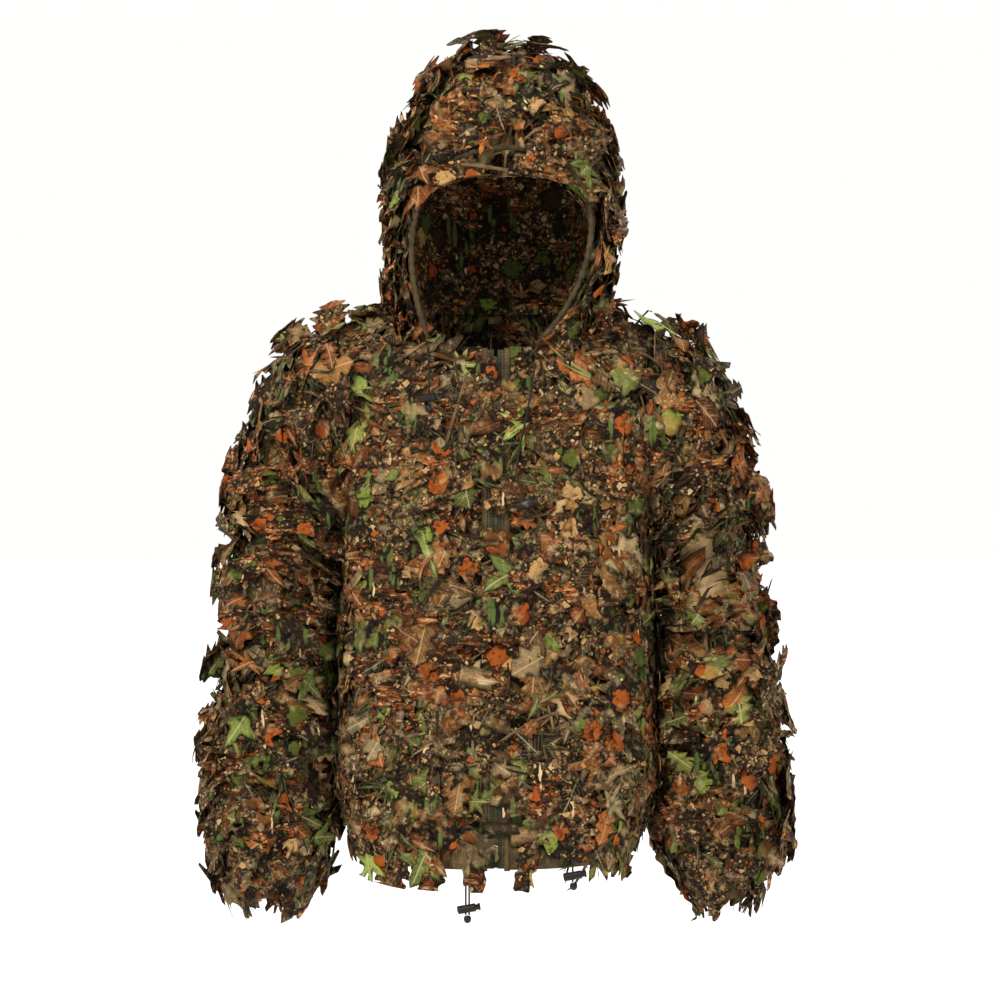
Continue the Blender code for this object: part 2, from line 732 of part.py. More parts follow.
def place_lock(name, centre, cord_way, barrel_way, parts):
    """Set a lock's three pieces on the cord: local X lies along the cord."""
    barrel = barrel_way.normalized()
    third = barrel.cross(cord_way).normalized()
    across = third.cross(barrel)
    placed = Matrix.Translation(centre) @ Matrix((across, third, barrel)).transposed().to_4x4()
    for piece, data in parts.items():
        thing = bpy.data.objects.new(f"{name}_{piece}", data)
        PARTS.objects.link(thing)
        thing.matrix_world = placed


def place_bead(name, foot, cord_way, mesh):
    """The knotted end that keeps a lock on its cord, just past the cord's end."""
    turn = Vector((0.0, 0.0, -1.0)).rotation_difference(cord_way).to_matrix().to_4x4()
    bead = bpy.data.objects.new(name, mesh)
    PARTS.objects.link(bead)
    bead.matrix_world = Matrix.Translation(foot + cord_way * 0.0003) @ turn


def eyelet(name, centre, axis):
    """A pressed ring round a cord's exit."""
    bpy.ops.mesh.primitive_torus_add(major_radius=EYELET_RADIUS, minor_radius=EYELET_WIRE,
                                     major_segments=12, minor_segments=5)
    ring = bpy.context.object
    data = ring.data
    bpy.data.objects.remove(ring)
    thing = add_object(name, data, "metal")
    turn = Vector((0.0, 0.0, 1.0)).rotation_difference(axis).to_matrix().to_4x4()
    thing.matrix_world = Matrix.Translation(centre + axis * EYELET_WIRE) @ turn
    return thing


def panel_spot(share, degrees, side):
    """A point and its outward normal on the yoke, between the first two levels."""
    def spot(part, turn):
        return mix(torso_point(TORSO_LEVELS[0], turn, side),
                   torso_point(TORSO_LEVELS[1], turn, side), part)

    here = spot(share, degrees)
    down = spot(share + 0.05, degrees) - here
    across = spot(share, degrees + 2.0) - here
    normal = across.cross(down).normalized()
    if normal.y > 0:
        normal = -normal
    return here, normal


def hood_cord_route(side):
    """A hood cord from its eyelet, forward over the leaves and down the chest."""
    here, normal = panel_spot(0.4, HOOD_EYELETS[side], side)
    start = here + normal * 0.0012
    drops = HOOD_CORD_DROPS[side]
    route = [start, start + normal * 0.008]
    for x, z in drops:
        route.append(Vector((x, front_line(z) - CHEST_STAND_OFF, z)))
    return route


def make_cords():
    parts = {"body": lock_body_mesh(), "button": lock_button_mesh(),
             "spring": spring_curve()}
    parts["body"].materials.append(MATERIALS["plastic"])
    parts["button"].materials.append(MATERIALS["plastic"])
    parts["spring"].materials.append(MATERIALS["steel"])
    bead = turned("bead", [(0.0, -0.0002), (0.0030, -0.0006), (0.0043, -0.0025),
                           (0.0046, -0.0048), (0.0040, -0.0072), (0.0024, -0.0090),
                           (0.0, -0.0096)], 12)
    bead.materials.append(MATERIALS["plastic"])
    for side in (LEFT, RIGHT):
        name = f"hood_cord_{SIDE_NAMES[side]}"
        here, normal = panel_spot(0.4, HOOD_EYELETS[side], side)
        eyelet(f"{name}_eyelet", here + normal * 0.0004, normal)
        route = hood_cord_route(side)
        tube(name, smooth_route(route, HOOD_CORD_POINTS[side]), CORD_RADIUS, "cord")
        way = (route[-1] - route[-2]).normalized()
        centre = route[-1] - way * LOCK_ABOVE_END
        place_lock(f"{name}_lock", centre, way, HOOD_BARRELS[side], parts)
        place_bead(f"{name}_end", route[-1], way, bead)
    make_hem_cords(parts, bead)


def make_hem_cords(parts, bead):
    down = Vector((0.0, 0.0, -1.0))
    top = hem_spot(LEFT, HEM_LOOP_ANGLE) + Vector((0.0, 0.0, -HEM_HALF_HEIGHT - 0.0004))
    eyelet("hem_cord_left_eyelet", top, down)
    foot = top + down * HEM_LOOP_DROP
    for strand in (LEFT, RIGHT):
        shift = Vector((strand * HEM_STRAND_STEP, 0.0, 0.0))
        points = even_points([top + shift + down * 0.0003, foot + shift], 12)
        name = "outer" if strand == LEFT else "inner"
        tube(f"hem_cord_left_{name}_strand", points, HEM_CORD_RADIUS, "cord")
    place_lock("hem_cord_left_lock", foot - down * LOCK_ABOVE_END, down,
               HEM_BARREL, parts)
    place_bead("hem_cord_left_end", foot, down, bead)

    side_spot = hem_spot(RIGHT, HEM_RIGHT_ANGLE)
    out = Vector((side_spot.x * 0.35, side_spot.y, 0.0)).normalized()
    face = side_spot + out * (HEM_HALF_THICK + 0.0004)
    eyelet("hem_cord_right_eyelet", face, out)
    start = face + out * 0.0003
    low = face + out * 0.0125
    route = [start, start + out * 0.0065, low + down * 0.0060, low + down * 0.0115,
             low + down * 0.0170, low + down * 0.0230, low + down * 0.0290]
    tube("hem_cord_right", smooth_route(route, 14), HEM_CORD_RADIUS, "cord")
    place_lock("hem_cord_right_lock", route[-1] - down * LOCK_ABOVE_END, down,
               HEM_BARREL, parts)
    place_bead("hem_cord_right_end", route[-1], down, bead)


def hem_spot(side, degrees):
    point = torso_point(TORSO_LEVELS[-1], degrees, side)
    return point + Vector((0.0, 0.0, -(HEM_HALF_HEIGHT + HEM_GAP)))


clear_scene()
PARTS = new_collection("ghillie_jacket")
CUTTERS = new_collection("cutters")
MATERIALS = {
    "mesh": make_material("leaf_print_mesh", (0.16, 0.11, 0.06), 0.85),
    "leaf": make_material("leaf_cut_fabric", (0.28, 0.17, 0.08), 0.9),
    "binding": make_material("olive_brown_binding", (0.11, 0.08, 0.045), 0.8),
    "tape": make_material("olive_zip_tape", (0.03, 0.035, 0.022), 0.8),
    "teeth": make_material("olive_nylon_teeth", (0.04, 0.045, 0.03), 0.45),
    "metal": make_material("blackened_metal", (0.03, 0.03, 0.028), 0.4, 0.9),
    "plastic": make_material("black_plastic", (0.008, 0.008, 0.009), 0.35),
    "cord": make_material("black_braided_cord", (0.01, 0.01, 0.01), 0.8),
    "elastic": make_material("black_knitted_elastic", (0.015, 0.015, 0.015), 0.8),
    "steel": make_material("spring_steel", (0.5, 0.5, 0.5), 0.3, 1.0),
}
make_torso()
make_hem()
make_hood()
make_sleeves()
make_zip()
make_cords()
bpy.context.view_layer.update()
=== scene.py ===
import math
import bmesh
import bpy
import numpy as np
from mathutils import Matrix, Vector


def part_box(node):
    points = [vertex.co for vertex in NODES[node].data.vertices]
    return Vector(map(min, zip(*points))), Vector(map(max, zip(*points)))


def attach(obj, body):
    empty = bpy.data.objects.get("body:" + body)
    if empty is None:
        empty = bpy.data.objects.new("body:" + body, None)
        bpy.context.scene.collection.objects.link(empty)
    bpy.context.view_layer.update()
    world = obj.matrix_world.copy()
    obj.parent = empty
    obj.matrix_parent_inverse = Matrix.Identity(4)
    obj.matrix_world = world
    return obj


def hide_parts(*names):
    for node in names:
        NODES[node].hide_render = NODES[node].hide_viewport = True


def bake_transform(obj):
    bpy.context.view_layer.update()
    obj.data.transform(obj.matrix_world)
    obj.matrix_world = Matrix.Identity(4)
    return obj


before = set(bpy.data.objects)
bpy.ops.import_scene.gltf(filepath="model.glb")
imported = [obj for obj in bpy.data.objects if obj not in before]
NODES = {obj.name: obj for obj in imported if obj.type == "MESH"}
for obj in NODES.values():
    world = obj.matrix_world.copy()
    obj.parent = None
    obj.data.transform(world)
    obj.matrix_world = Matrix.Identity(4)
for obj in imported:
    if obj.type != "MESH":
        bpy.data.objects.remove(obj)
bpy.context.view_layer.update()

# A hooded leaf-cut camouflage jacket. Metres, +Z up, front at -Y, origin at the neck base.
SIDES = {"left": -1, "right": 1}
RNG = np.random.default_rng(41)
SHELL = 0.0006
LEAF_SHEET = 0.0005
# the room that leaf tips may fill: its middle, its half size and the depth over which tips bend back
LIMIT_MIDDLE, LIMIT_HALF = np.array((0.0, -0.010, -0.170)), np.array((0.374, 0.162, 0.566))
LIMIT_SOFT = 0.012
# bare patches of sheer cloth on the front of the right sleeve, as x, z and radius
SHEER_PATCHES = ((0.252, -0.262, 0.026), (0.262, -0.300, 0.020), (0.236, -0.115, 0.018),
                 (0.262, -0.205, 0.016))

# ------------------------------------------------------------------ shape of the garment
# z at the side, front and back, half width, y at the back, armhole angle, slope of the yoke
TORSO = np.array([
    (0.034, -0.014, 0.042, 0.098, 0.066, 0, 2.0), (0.026, -0.038, 0.018, 0.130, 0.088, 0, 1.8),
    (0.016, -0.068, -0.015, 0.161, 0.105, 0, 1.6), (0.004, -0.095, -0.055, 0.185, 0.116, 0, 1.4),
    (-0.015, -0.115, -0.085, 0.196, 0.121, 20, 1.2), (-0.050, -0.135, -0.115, 0.203, 0.125, 31, 1),
    (-0.095, -0.155, -0.140, 0.206, 0.127, 34, 1), (-0.140, -0.175, -0.168, 0.203, 0.128, 31, 1),
    (-0.172, -0.190, -0.188, 0.194, 0.128, 20, 1), (-0.195, -0.205, -0.203, 0.181, 0.127, 0, 1),
    (-0.260, -0.265, -0.262, 0.179, 0.124, 0, 1), (-0.340, -0.345, -0.342, 0.180, 0.121, 0, 1),
    (-0.420, -0.428, -0.422, 0.183, 0.121, 0, 1), (-0.500, -0.512, -0.502, 0.186, 0.125, 0, 1),
    (-0.552, -0.570, -0.554, 0.184, 0.124, 0, 1), (-0.592, -0.612, -0.592, 0.171, 0.114, 0, 1)])
SQUARE = 0.8
ZIP_TOP = np.array((0.0, -0.095, -0.014))
ZIP_FOOT = np.array((0.0, -0.150, -0.636))
FRONT_EDGE = 0.0168
# outer x, z, inner x, z and half depth of the sleeve's sections, shoulder to cuff
UPPER_SLEEVE = np.array([
    (0.194, 0.006, 0.194, -0.186, 0.076), (0.230, -0.009, 0.202, -0.200, 0.073),
    (0.258, -0.042, 0.206, -0.220, 0.069), (0.280, -0.092, 0.209, -0.246, 0.065),
    (0.297, -0.170, 0.210, -0.285, 0.062), (0.307, -0.262, 0.210, -0.318, 0.061),
    (0.313, -0.345, 0.210, -0.355, 0.061)])
LOWER_SLEEVE = np.array([
    (0.313, -0.348, 0.210, -0.358, 0.061), (0.321, -0.415, 0.209, -0.415, 0.064),
    (0.333, -0.480, 0.209, -0.480, 0.067), (0.338, -0.545, 0.210, -0.545, 0.067),
    (0.336, -0.600, 0.212, -0.600, 0.063), (0.326, -0.635, 0.222, -0.635, 0.053),
    (0.314, -0.656, 0.236, -0.656, 0.042)])
SLEEVE_Y = 0.008
CUFF_CENTRE, CUFF_HALF = (0.275, 0.008, -0.671), (0.039, 0.042)
HOOD_CREST = ((-0.118, 0.222), (-0.108, 0.262), (-0.082, 0.305), (-0.042, 0.338), (0.006, 0.351),
              (0.054, 0.340), (0.094, 0.302), (0.117, 0.240), (0.118, 0.165), (0.100, 0.098))
HOOD_WIDTHS = ((0.128, 0.130), (0.130, 0.131), (0.132, 0.128), (0.132, 0.120), (0.130, 0.112),
               (0.126, 0.105), (0.120, 0.098), (0.112, 0.090), (0.100, 0.080), (0.085, 0.062))
HOOD_LEAN, NAPE_ANGLE, OPEN_ANGLE = 0.012, 62, {-1: -38, 1: -64}
NECK_GAP, CASING_BACK, CREST_DROP = 0.003, 0.0075, 0.012
NAPE_TUCK = np.array((0.0, -0.003, -0.012))


def mix(a, b, share):
    return a + (b - a) * share


def unit(vectors):
    return vectors / np.maximum(np.linalg.norm(vectors, axis=-1, keepdims=True), 1e-12)


def signed_power(value, exponent):
    return np.sign(value) * np.abs(value) ** exponent


def catmull(rows, places):
    """A smooth curve through rows, read at fractional row numbers."""
    rows = np.asarray(rows, float)
    ends = np.concatenate([[2 * rows[0] - rows[1]], rows, [2 * rows[-1] - rows[-2]]])
    places = np.asarray(places, float)
    i = np.clip(places.astype(int), 0, len(rows) - 2)
    f = (places - i).reshape((-1,) + (1,) * (rows.ndim - 1))
    a, b, c, d = ends[i], ends[i + 1], ends[i + 2], ends[i + 3]
    return 0.5 * (2 * b + (c - a) * f + (2 * a - 5 * b + 4 * c - d) * f ** 2
                  + (3 * b - a - 3 * c + d) * f ** 3)


def even(points, axis, count):
    """The grid with its rows along one axis spread evenly by mean distance."""
    steps = np.linalg.norm(np.diff(points, axis=axis), axis=2).mean(axis=1 - axis)
    along = np.concatenate([[0], np.cumsum(steps)])
    where = np.interp(np.linspace(0, along[-1], count), along, np.arange(len(along)))
    i = np.clip(where.astype(int), 0, len(along) - 2)
    f = where - i
    shape = [1, 1, 1]
    shape[axis] = count
    f = f.reshape(shape)
    return np.take(points, i, axis) * (1 - f) + np.take(points, i + 1, axis) * f


class Surface:
    """A cloth patch as a grid of points across (u) and along (v), each from 0 to 1."""

    def __init__(self, points, middle, closed=False, size=(72, 72), cap=0.034):
        points = even(even(points, 0, size[0]), 1, size[1])
        self.points, self.closed = points, closed
        if closed:
            wrapped = np.concatenate([points[-2:-1], points, points[1:2]])
            self.du = (np.gradient(wrapped, axis=0)[1:-1]) * (size[0] - 1)
        else:
            self.du = np.gradient(points, axis=0) * (size[0] - 1)
        self.dv = np.gradient(points, axis=1) * (size[1] - 1)
        normal = np.cross(self.du, self.dv)
        normal /= np.maximum(np.linalg.norm(normal, axis=2, keepdims=True), 1e-12)
        if (normal * (points - middle)).sum() < 0:
            normal = -normal
        self.normals = normal
        self.area = float(np.linalg.norm(np.cross(self.du, self.dv), axis=2).mean())
        # how far leaves run past the foot, the top and the sides, and how far they stand off the cloth
        self.reach, self.back, self.spill, self.cap = 1.08, 0.05, 0.05, cap

    def read(self, grid, u, v, beyond=False):
        across, along = grid.shape[0] - 1, grid.shape[1] - 1
        u = np.mod(u, 1.0) if self.closed else u
        fu, fv = u * across, v * along
        i = np.clip(np.floor(fu).astype(int), 0, across - 1)
        j = np.clip(np.floor(fv).astype(int), 0, along - 1)
        a, b = fu - i, fv - j
        if not beyond:
            a, b = np.clip(a, 0, 1), np.clip(b, 0, 1)
        a, b = a[..., None], b[..., None]
        return ((grid[i, j] * (1 - a) + grid[i + 1, j] * a) * (1 - b)
                + (grid[i, j + 1] * (1 - a) + grid[i + 1, j + 1] * a) * b)

    def point(self, u, v):
        return self.read(self.points, u, v, beyond=True)

    def normal(self, u, v):
        n = self.read(self.normals, u, v)
        return n / np.linalg.norm(n, axis=-1, keepdims=True)


def front_line(z):
    return mix(ZIP_TOP[1], ZIP_FOOT[1], (ZIP_TOP[2] - z) / (ZIP_TOP[2] - ZIP_FOOT[2]))


def torso_points(rows, degrees, side):
    z_side, z_front, z_back, half, y_back, _, slope = (rows[:, k] for k in range(7))
    turn = np.radians(degrees)
    sine = np.sin(turn)
    y_front = front_line(z_front)
    x = side * half * signed_power(np.cos(turn), SQUARE)
    y = (y_front + y_back) / 2 + (y_back - y_front) / 2 * signed_power(sine, SQUARE)
    z_middle = np.where(sine < 0, z_front, z_back)
    z = z_middle + (z_side - z_middle) * (1 - np.abs(sine)) ** slope
    return np.stack([x, y, z], axis=-1)


def torso_rows(count=161):
    rows = catmull(TORSO, np.linspace(0, len(TORSO) - 1, count))
    rows[:, 5] = np.clip(np.interp(np.linspace(0, len(TORSO) - 1, count), range(len(TORSO)),
                                   TORSO[:, 5]), 0, 60)
    return rows


def front_surface(side):
    rows = torso_rows()
    edge = -np.degrees(np.arccos((FRONT_EDGE / rows[:, 3]) ** (1 / SQUARE)))
    shares = np.linspace(0, 1, 60)
    columns = [torso_points(rows, mix(edge, -rows[:, 5], share), side) for share in shares]
    return Surface(np.array(columns), np.array((0, 0, -0.3)), cap=0.021)


def back_surface():
    rows = torso_rows()
    left = [torso_points(rows, mix(rows[:, 5], 90.0, s), -1) for s in np.linspace(0, 1, 50)]
    right = [torso_points(rows, mix(90.0, rows[:, 5], s), 1) for s in np.linspace(0, 1, 50)]
    return Surface(np.array(left + right[1:]), np.array((0, 0, -0.3)), size=(110, 72), cap=0.022)


def neck_point(degrees, side):
    row = TORSO[:1].copy()
    return torso_points(row, np.array([degrees], float), side)[0] + np.array((0, 0, NECK_GAP))


def hood_arch(index, side, count):
    share = index / 10
    foot = neck_point(mix(OPEN_ANGLE[side], NAPE_ANGLE, share), side)
    crest_y, crest_z = HOOD_CREST[index]
    low_width, high_width = HOOD_WIDTHS[index]
    lean = HOOD_LEAN * min(1, crest_z / 0.2)
    low = np.array((lean + side * low_width, mix(foot[1], crest_y, 0.35), mix(foot[2], crest_z, 0.40)))
    high = np.array((lean + side * high_width, crest_y, crest_z - (CREST_DROP if index else 0)))
    crest = np.array((lean, crest_y, crest_z))
    t = np.linspace(0, 1, count)[:, None]
    return (foot * (1 - t) ** 3 + 3 * low * t * (1 - t) ** 2 + 3 * high * t ** 2 * (1 - t)
            + crest * t ** 3)


def hood_surface(side):
    arches = [hood_arch(i, side, 40) for i in range(10)]
    arches[0] = arches[0] + np.array((0, CASING_BACK, 0))
    nape = np.array([neck_point(d, side) for d in np.linspace(NAPE_ANGLE, 90, 40)])
    rows = catmull(np.array(arches + [nape, nape + NAPE_TUCK]), np.linspace(0, 11, 95))
    return Surface(rows.transpose(1, 0, 2), np.array((0, 0, 0.15)))


def sleeve_surface(sections, side, first=0.0, last=None):
    last = len(sections) - 1 if last is None else last
    rows = catmull(sections, np.linspace(first, last, 70))
    turn = np.linspace(0, 2 * np.pi, 73)
    outer = np.stack([rows[:, 0], rows[:, 1]], 1)
    inner = np.stack([rows[:, 2], rows[:, 3]], 1)
    middle, reach = (outer + inner) / 2, (outer - inner) / 2
    c = signed_power(np.cos(turn), 0.94)[:, None, None]
    s = signed_power(np.sin(turn), 0.94)[:, None]
    flat = middle[None] + reach[None] * c
    y = SLEEVE_Y + rows[None, :, 4] * s
    points = np.stack([side * flat[..., 0], y, flat[..., 1]], -1)
    centre = np.stack([side * middle[:, 0], np.full(len(rows), SLEEVE_Y), middle[:, 1]], -1)
    return Surface(points, even(centre[None], 1, 72), closed=True)


# ------------------------------------------------------------------ procedural materials
def colour(*rgb):
    """A colour given as display values from 0 to 255, as linear light."""
    return tuple((c / 255 / 12.92 if c <= 10 else ((c / 255 + 0.055) / 1.055) ** 2.4) for c in rgb) + (1.0,)


QUARTER_TURN = (0, math.pi / 2, 0)


class Paint:
    """A small helper that adds and joins shader nodes."""

    def __init__(self, name):
        self.material = bpy.data.materials.new(name)
        self.material.use_nodes = True
        self.tree = self.material.node_tree
        self.surface = self.tree.nodes["Principled BSDF"]
        self.coords = self.tree.nodes.new("ShaderNodeTexCoord").outputs["Object"]

    def node(self, kind, _output=0, **inputs):
        made = self.tree.nodes.new("ShaderNode" + kind)
        for key, value in inputs.items():
            if key.startswith("set_"):
                setattr(made, key[4:], value)
                continue
            socket = made.inputs[int(key[1:])] if key[0] == "i" and key[1:].isdigit() else made.inputs[key]
            self.feed(socket, value)
        return made.outputs[_output]

    def feed(self, socket, value):
        if isinstance(value, bpy.types.NodeSocket):
            self.tree.links.new(value, socket)
        else:
            socket.default_value = value

    def maths(self, operation, a, b=0.0):
        return self.node("Math", set_operation=operation, i0=a, i1=b)

    def times(self, a, b):
        return self.maths("MULTIPLY", a, b)

    def parts(self, kind, value):
        made = self.tree.nodes.new("ShaderNodeSeparate" + kind)
        self.feed(made.inputs[0], value)
        return made.outputs

    def noise(self, scale, detail=4.0, rough=0.6, where=None, stretch=(1, 1, 1), turn=(0, 0, 0),
              shift=(0, 0, 0)):
        where = self.place(where, stretch, turn, shift)
        return self.node("TexNoise", Vector=where, Scale=scale, Detail=detail, Roughness=rough)

    def place(self, where=None, stretch=(1, 1, 1), turn=(0, 0, 0), shift=(0, 0, 0)):
        made = self.tree.nodes.new("ShaderNodeMapping")
        self.feed(made.inputs["Vector"], where or self.coords)
        made.inputs["Scale"].default_value = stretch
        made.inputs["Rotation"].default_value = turn
        made.inputs["Location"].default_value = shift
        return made.outputs["Vector"]

    def cells(self, scale, where=None, output="Distance", random=1.0, distance="EUCLIDEAN"):
        made = self.tree.nodes.new("ShaderNodeTexVoronoi")
        made.distance = distance
        self.feed(made.inputs["Vector"], where or self.coords)
        made.inputs["Scale"].default_value = scale
        made.inputs["Randomness"].default_value = random
        return made.outputs[output]

    def ramp(self, value, stops, hard=False):
        made = self.tree.nodes.new("ShaderNodeValToRGB")
        made.color_ramp.interpolation = "CONSTANT" if hard else "LINEAR"
        band = made.color_ramp.elements
        while len(band) < len(stops):
            band.new(0.5)
        for element, (position, shade) in zip(band, stops):
            element.position = position
            element.color = shade
        self.feed(made.inputs["Fac"], value)
        return made.outputs["Color"]

    def step(self, value, low, high):
        return self.node("MapRange", set_interpolation_type="SMOOTHSTEP", Value=value,
                         **{"From Min": low, "From Max": high})

    def over(self, base, top, share):
        made = self.tree.nodes.new("ShaderNodeMix")
        made.data_type = "RGBA"
        self.feed(made.inputs[0], share)
        self.feed(made.inputs[6], base)
        self.feed(made.inputs[7], top)
        return made.outputs[2]

    def attribute(self, name, output="Color"):
        made = self.tree.nodes.new("ShaderNodeAttribute")
        made.attribute_name = name
        return made.outputs[output]

    def bump(self, height, strength, distance):
        made = self.tree.nodes.new("ShaderNodeBump")
        made.inputs["Strength"].default_value = strength
        made.inputs["Distance"].default_value = distance
        self.feed(made.inputs["Height"], height)
        self.feed(self.surface.inputs["Normal"], made.outputs["Normal"])

    def done(self, base, roughness, metallic=0.0, specular=0.3):
        self.feed(self.surface.inputs["Base Color"], base)
        self.feed(self.surface.inputs["Roughness"], roughness)
        self.surface.inputs["Metallic"].default_value = metallic
        self.surface.inputs["Specular IOR Level"].default_value = specular
        return self.material


SHADOW, BROWN, BARK = colour(13, 9, 5), colour(46, 31, 17), colour(98, 77, 50)
RUST, TAN, CREAM = colour(126, 62, 20), colour(150, 117, 74), colour(190, 170, 130)
OLIVE, LEAF_GREEN, NEEDLE = colour(66, 72, 26), colour(98, 108, 44), colour(66, 80, 38)
PALE, WHITE = colour(150, 130, 94), (1, 1, 1, 1)


def litter_colours(paint):
    """Printed forest litter: leaves, bark, chips, twigs and needles over deep shadow."""
    where, over, step, times, noise = paint.coords, paint.over, paint.step, paint.times, paint.noise
    warp = paint.node("TexNoise", 1, Vector=where, Scale=70.0, Detail=3.0)
    warped = paint.node("VectorMath", set_operation="MULTIPLY_ADD", i0=warp, i1=(0.009, 0.009, 0.009),
                        i2=where)
    fine = noise(150.0, 6.0, 0.72)
    ground = paint.ramp(fine, [(0.40, SHADOW), (0.48, BROWN), (0.55, BARK), (0.63, TAN), (0.72, CREAM)])
    bark = noise(60.0, 6.0, 0.7, stretch=(0.5, 0.5, 3.2), turn=(0, 0.15, 0))
    bark_shade = paint.ramp(bark, [(0.38, SHADOW), (0.46, BROWN), (0.54, RUST), (0.60, TAN), (0.70, CREAM)])
    ground = over(ground, bark_shade, step(noise(9.0, 2.0, stretch=(0.6, 0.6, 2.2)), 0.50, 0.56))
    ground = over(ground, SHADOW, times(step(noise(34.0, 3.0, 0.5), 0.50, 0.58), 0.85))
    chip_bands = [(0.0, BARK), (0.24, TAN), (0.46, PALE), (0.55, RUST), (0.70, OLIVE), (0.80, BROWN)]
    for scale, gap in ((190.0, 0.48), (95.0, 0.72)):
        chips = paint.cells(scale, warped, distance="MANHATTAN")
        lot = paint.parts("Color", paint.cells(scale, warped, output="Color", distance="MANHATTAN"))
        some = paint.maths("GREATER_THAN", lot[1], gap)
        ground = over(ground, SHADOW, times(step(chips, 0.95, 0.70), some))
        ground = over(ground, paint.ramp(lot[0], chip_bands, hard=True), times(step(chips, 0.62, 0.52), some))
    needles = paint.cells(120.0, paint.place(where, (1.0, 1.0, 0.14), (0.0, 0.6, 0.0)))
    tufts = step(noise(16.0, 1.0, shift=(3, 1, 2)), 0.57, 0.62)
    ground = over(ground, SHADOW, times(tufts, 0.8))
    ground = over(ground, NEEDLE, times(tufts, step(needles, 0.42, 0.28)))
    large = paint.cells(27.0, warped)
    lot = paint.parts("Color", paint.cells(27.0, warped, output="Color"))
    leaf_bands = [(0.0, BROWN), (0.18, RUST), (0.46, TAN), (0.58, OLIVE), (0.78, LEAF_GREEN), (0.88, RUST)]
    leaf = paint.ramp(lot[0], leaf_bands, hard=True)
    leaf = over(leaf, SHADOW, times(step(fine, 0.50, 0.40), 0.6))
    fringe = paint.maths("ADD", large, times(noise(130.0, 2.0), 0.45))
    some = paint.maths("GREATER_THAN", lot[1], 0.42)
    ground = over(ground, SHADOW, times(step(fringe, 0.72, 0.60), some))
    ground = over(ground, leaf, times(step(fringe, 0.60, 0.54), some))
    for turn, shift in ((0.85, 0.0), (-0.5, 4.0)):
        twigs = paint.cells(13.0, paint.place(warped, (3.2, 3.2, 0.30), (0.0, turn, 0.0), (shift, 0, 0)))
        ground = over(ground, over(TAN, CREAM, fine), step(twigs, 0.085, 0.060))
    return ground


def litter_material(name="printed_mesh", sheer=0.0, tinted=False, patches=()):
    paint = Paint(name)
    over, step, times = paint.over, paint.step, paint.times
    base = litter_colours(paint)
    crumple = paint.noise(40.0, 5.0)
    if tinted:
        tint = paint.attribute("tint")
        own = over(tint, over(tint, CREAM, 0.5), step(paint.noise(120.0, 5.0), 0.5, 0.65))
        base = over(base, own, times(step(paint.noise(30.0, 2.0), 0.50, 0.56), 0.40))
    for x, z, size in patches:
        away = paint.node("VectorMath", 1, set_operation="DISTANCE",
                          i0=paint.place(stretch=(1, 0, 1)), i1=(x, 0, z))
        base = over(base, over(TAN, CREAM, 0.45), times(step(away, size * 1.15, size * 0.95), 0.85))
    weave = times(paint.node("TexWave", 1, Vector=paint.coords, Scale=450.0),
                  paint.node("TexWave", 1, Vector=paint.place(turn=QUARTER_TURN), Scale=450.0))
    paint.bump(paint.maths("ADD", times(weave, 0.12), crumple), 0.5, 0.003)
    material = paint.done(base, step(crumple, -1.6, 1.0), specular=0.12)
    if sheer:
        holes = paint.cells(620.0, random=0.15)
        see_through = times(step(holes, 0.30, 0.24), sheer)
        clear = paint.tree.nodes.new("ShaderNodeBsdfTransparent")
        blend = paint.tree.nodes.new("ShaderNodeMixShader")
        paint.feed(blend.inputs[0], see_through)
        paint.feed(blend.inputs[1], paint.surface.outputs[0])
        paint.feed(blend.inputs[2], clear.outputs[0])
        paint.feed(paint.tree.nodes["Material Output"].inputs["Surface"], blend.outputs[0])
    return material


def leaf_material(name, veins=True, streaks=False):
    """Cut-leaf cloth: 'tint' holds its printed colour, 'leaf' its x, y and distance in from the edge."""
    paint = Paint(name)
    over, step, times = paint.over, paint.step, paint.times
    tint = paint.attribute("tint")
    own = paint.attribute("leaf", "Vector")
    x, y, inside = paint.parts("XYZ", own)
    grain = paint.noise(85.0, 6.0, 0.65)
    base = over(tint, over(tint, CREAM, 0.30), step(grain, 0.52, 0.68))
    base = over(base, over(tint, SHADOW, 0.72), step(grain, 0.50, 0.32))
    spots = paint.noise(210.0, 4.0, 0.6)
    base = over(base, BROWN, times(step(spots, 0.60, 0.70), 0.55))
    relief = grain
    if veins:
        spine = paint.maths("ABSOLUTE", x)
        lines = paint.maths("PINGPONG", paint.maths("SUBTRACT", y, times(spine, 1.1)), 0.055)
        vein = paint.maths("MAXIMUM", step(spine, 0.022, 0.006), times(step(lines, 0.010, 0.002), 0.6))
        base = over(base, over(tint, CREAM, 0.45), times(vein, 0.7))
        relief = paint.maths("SUBTRACT", grain, times(vein, 0.4))
    if streaks:
        lines = paint.noise(7.0, 6.0, 0.7, own, (34.0, 3.0, 1.0))
        base = over(base, SHADOW, step(lines, 0.50, 0.36))
        base = over(base, over(tint, CREAM, 0.5), step(lines, 0.58, 0.70))
        relief = lines
    base = over(over(base, SHADOW, 0.55), base, step(inside, 0.02, 0.28))
    paint.bump(relief, 0.5, 0.0025)
    return paint.done(base, paint.maths("ADD", 0.72, times(grain, 0.25)), specular=0.12)


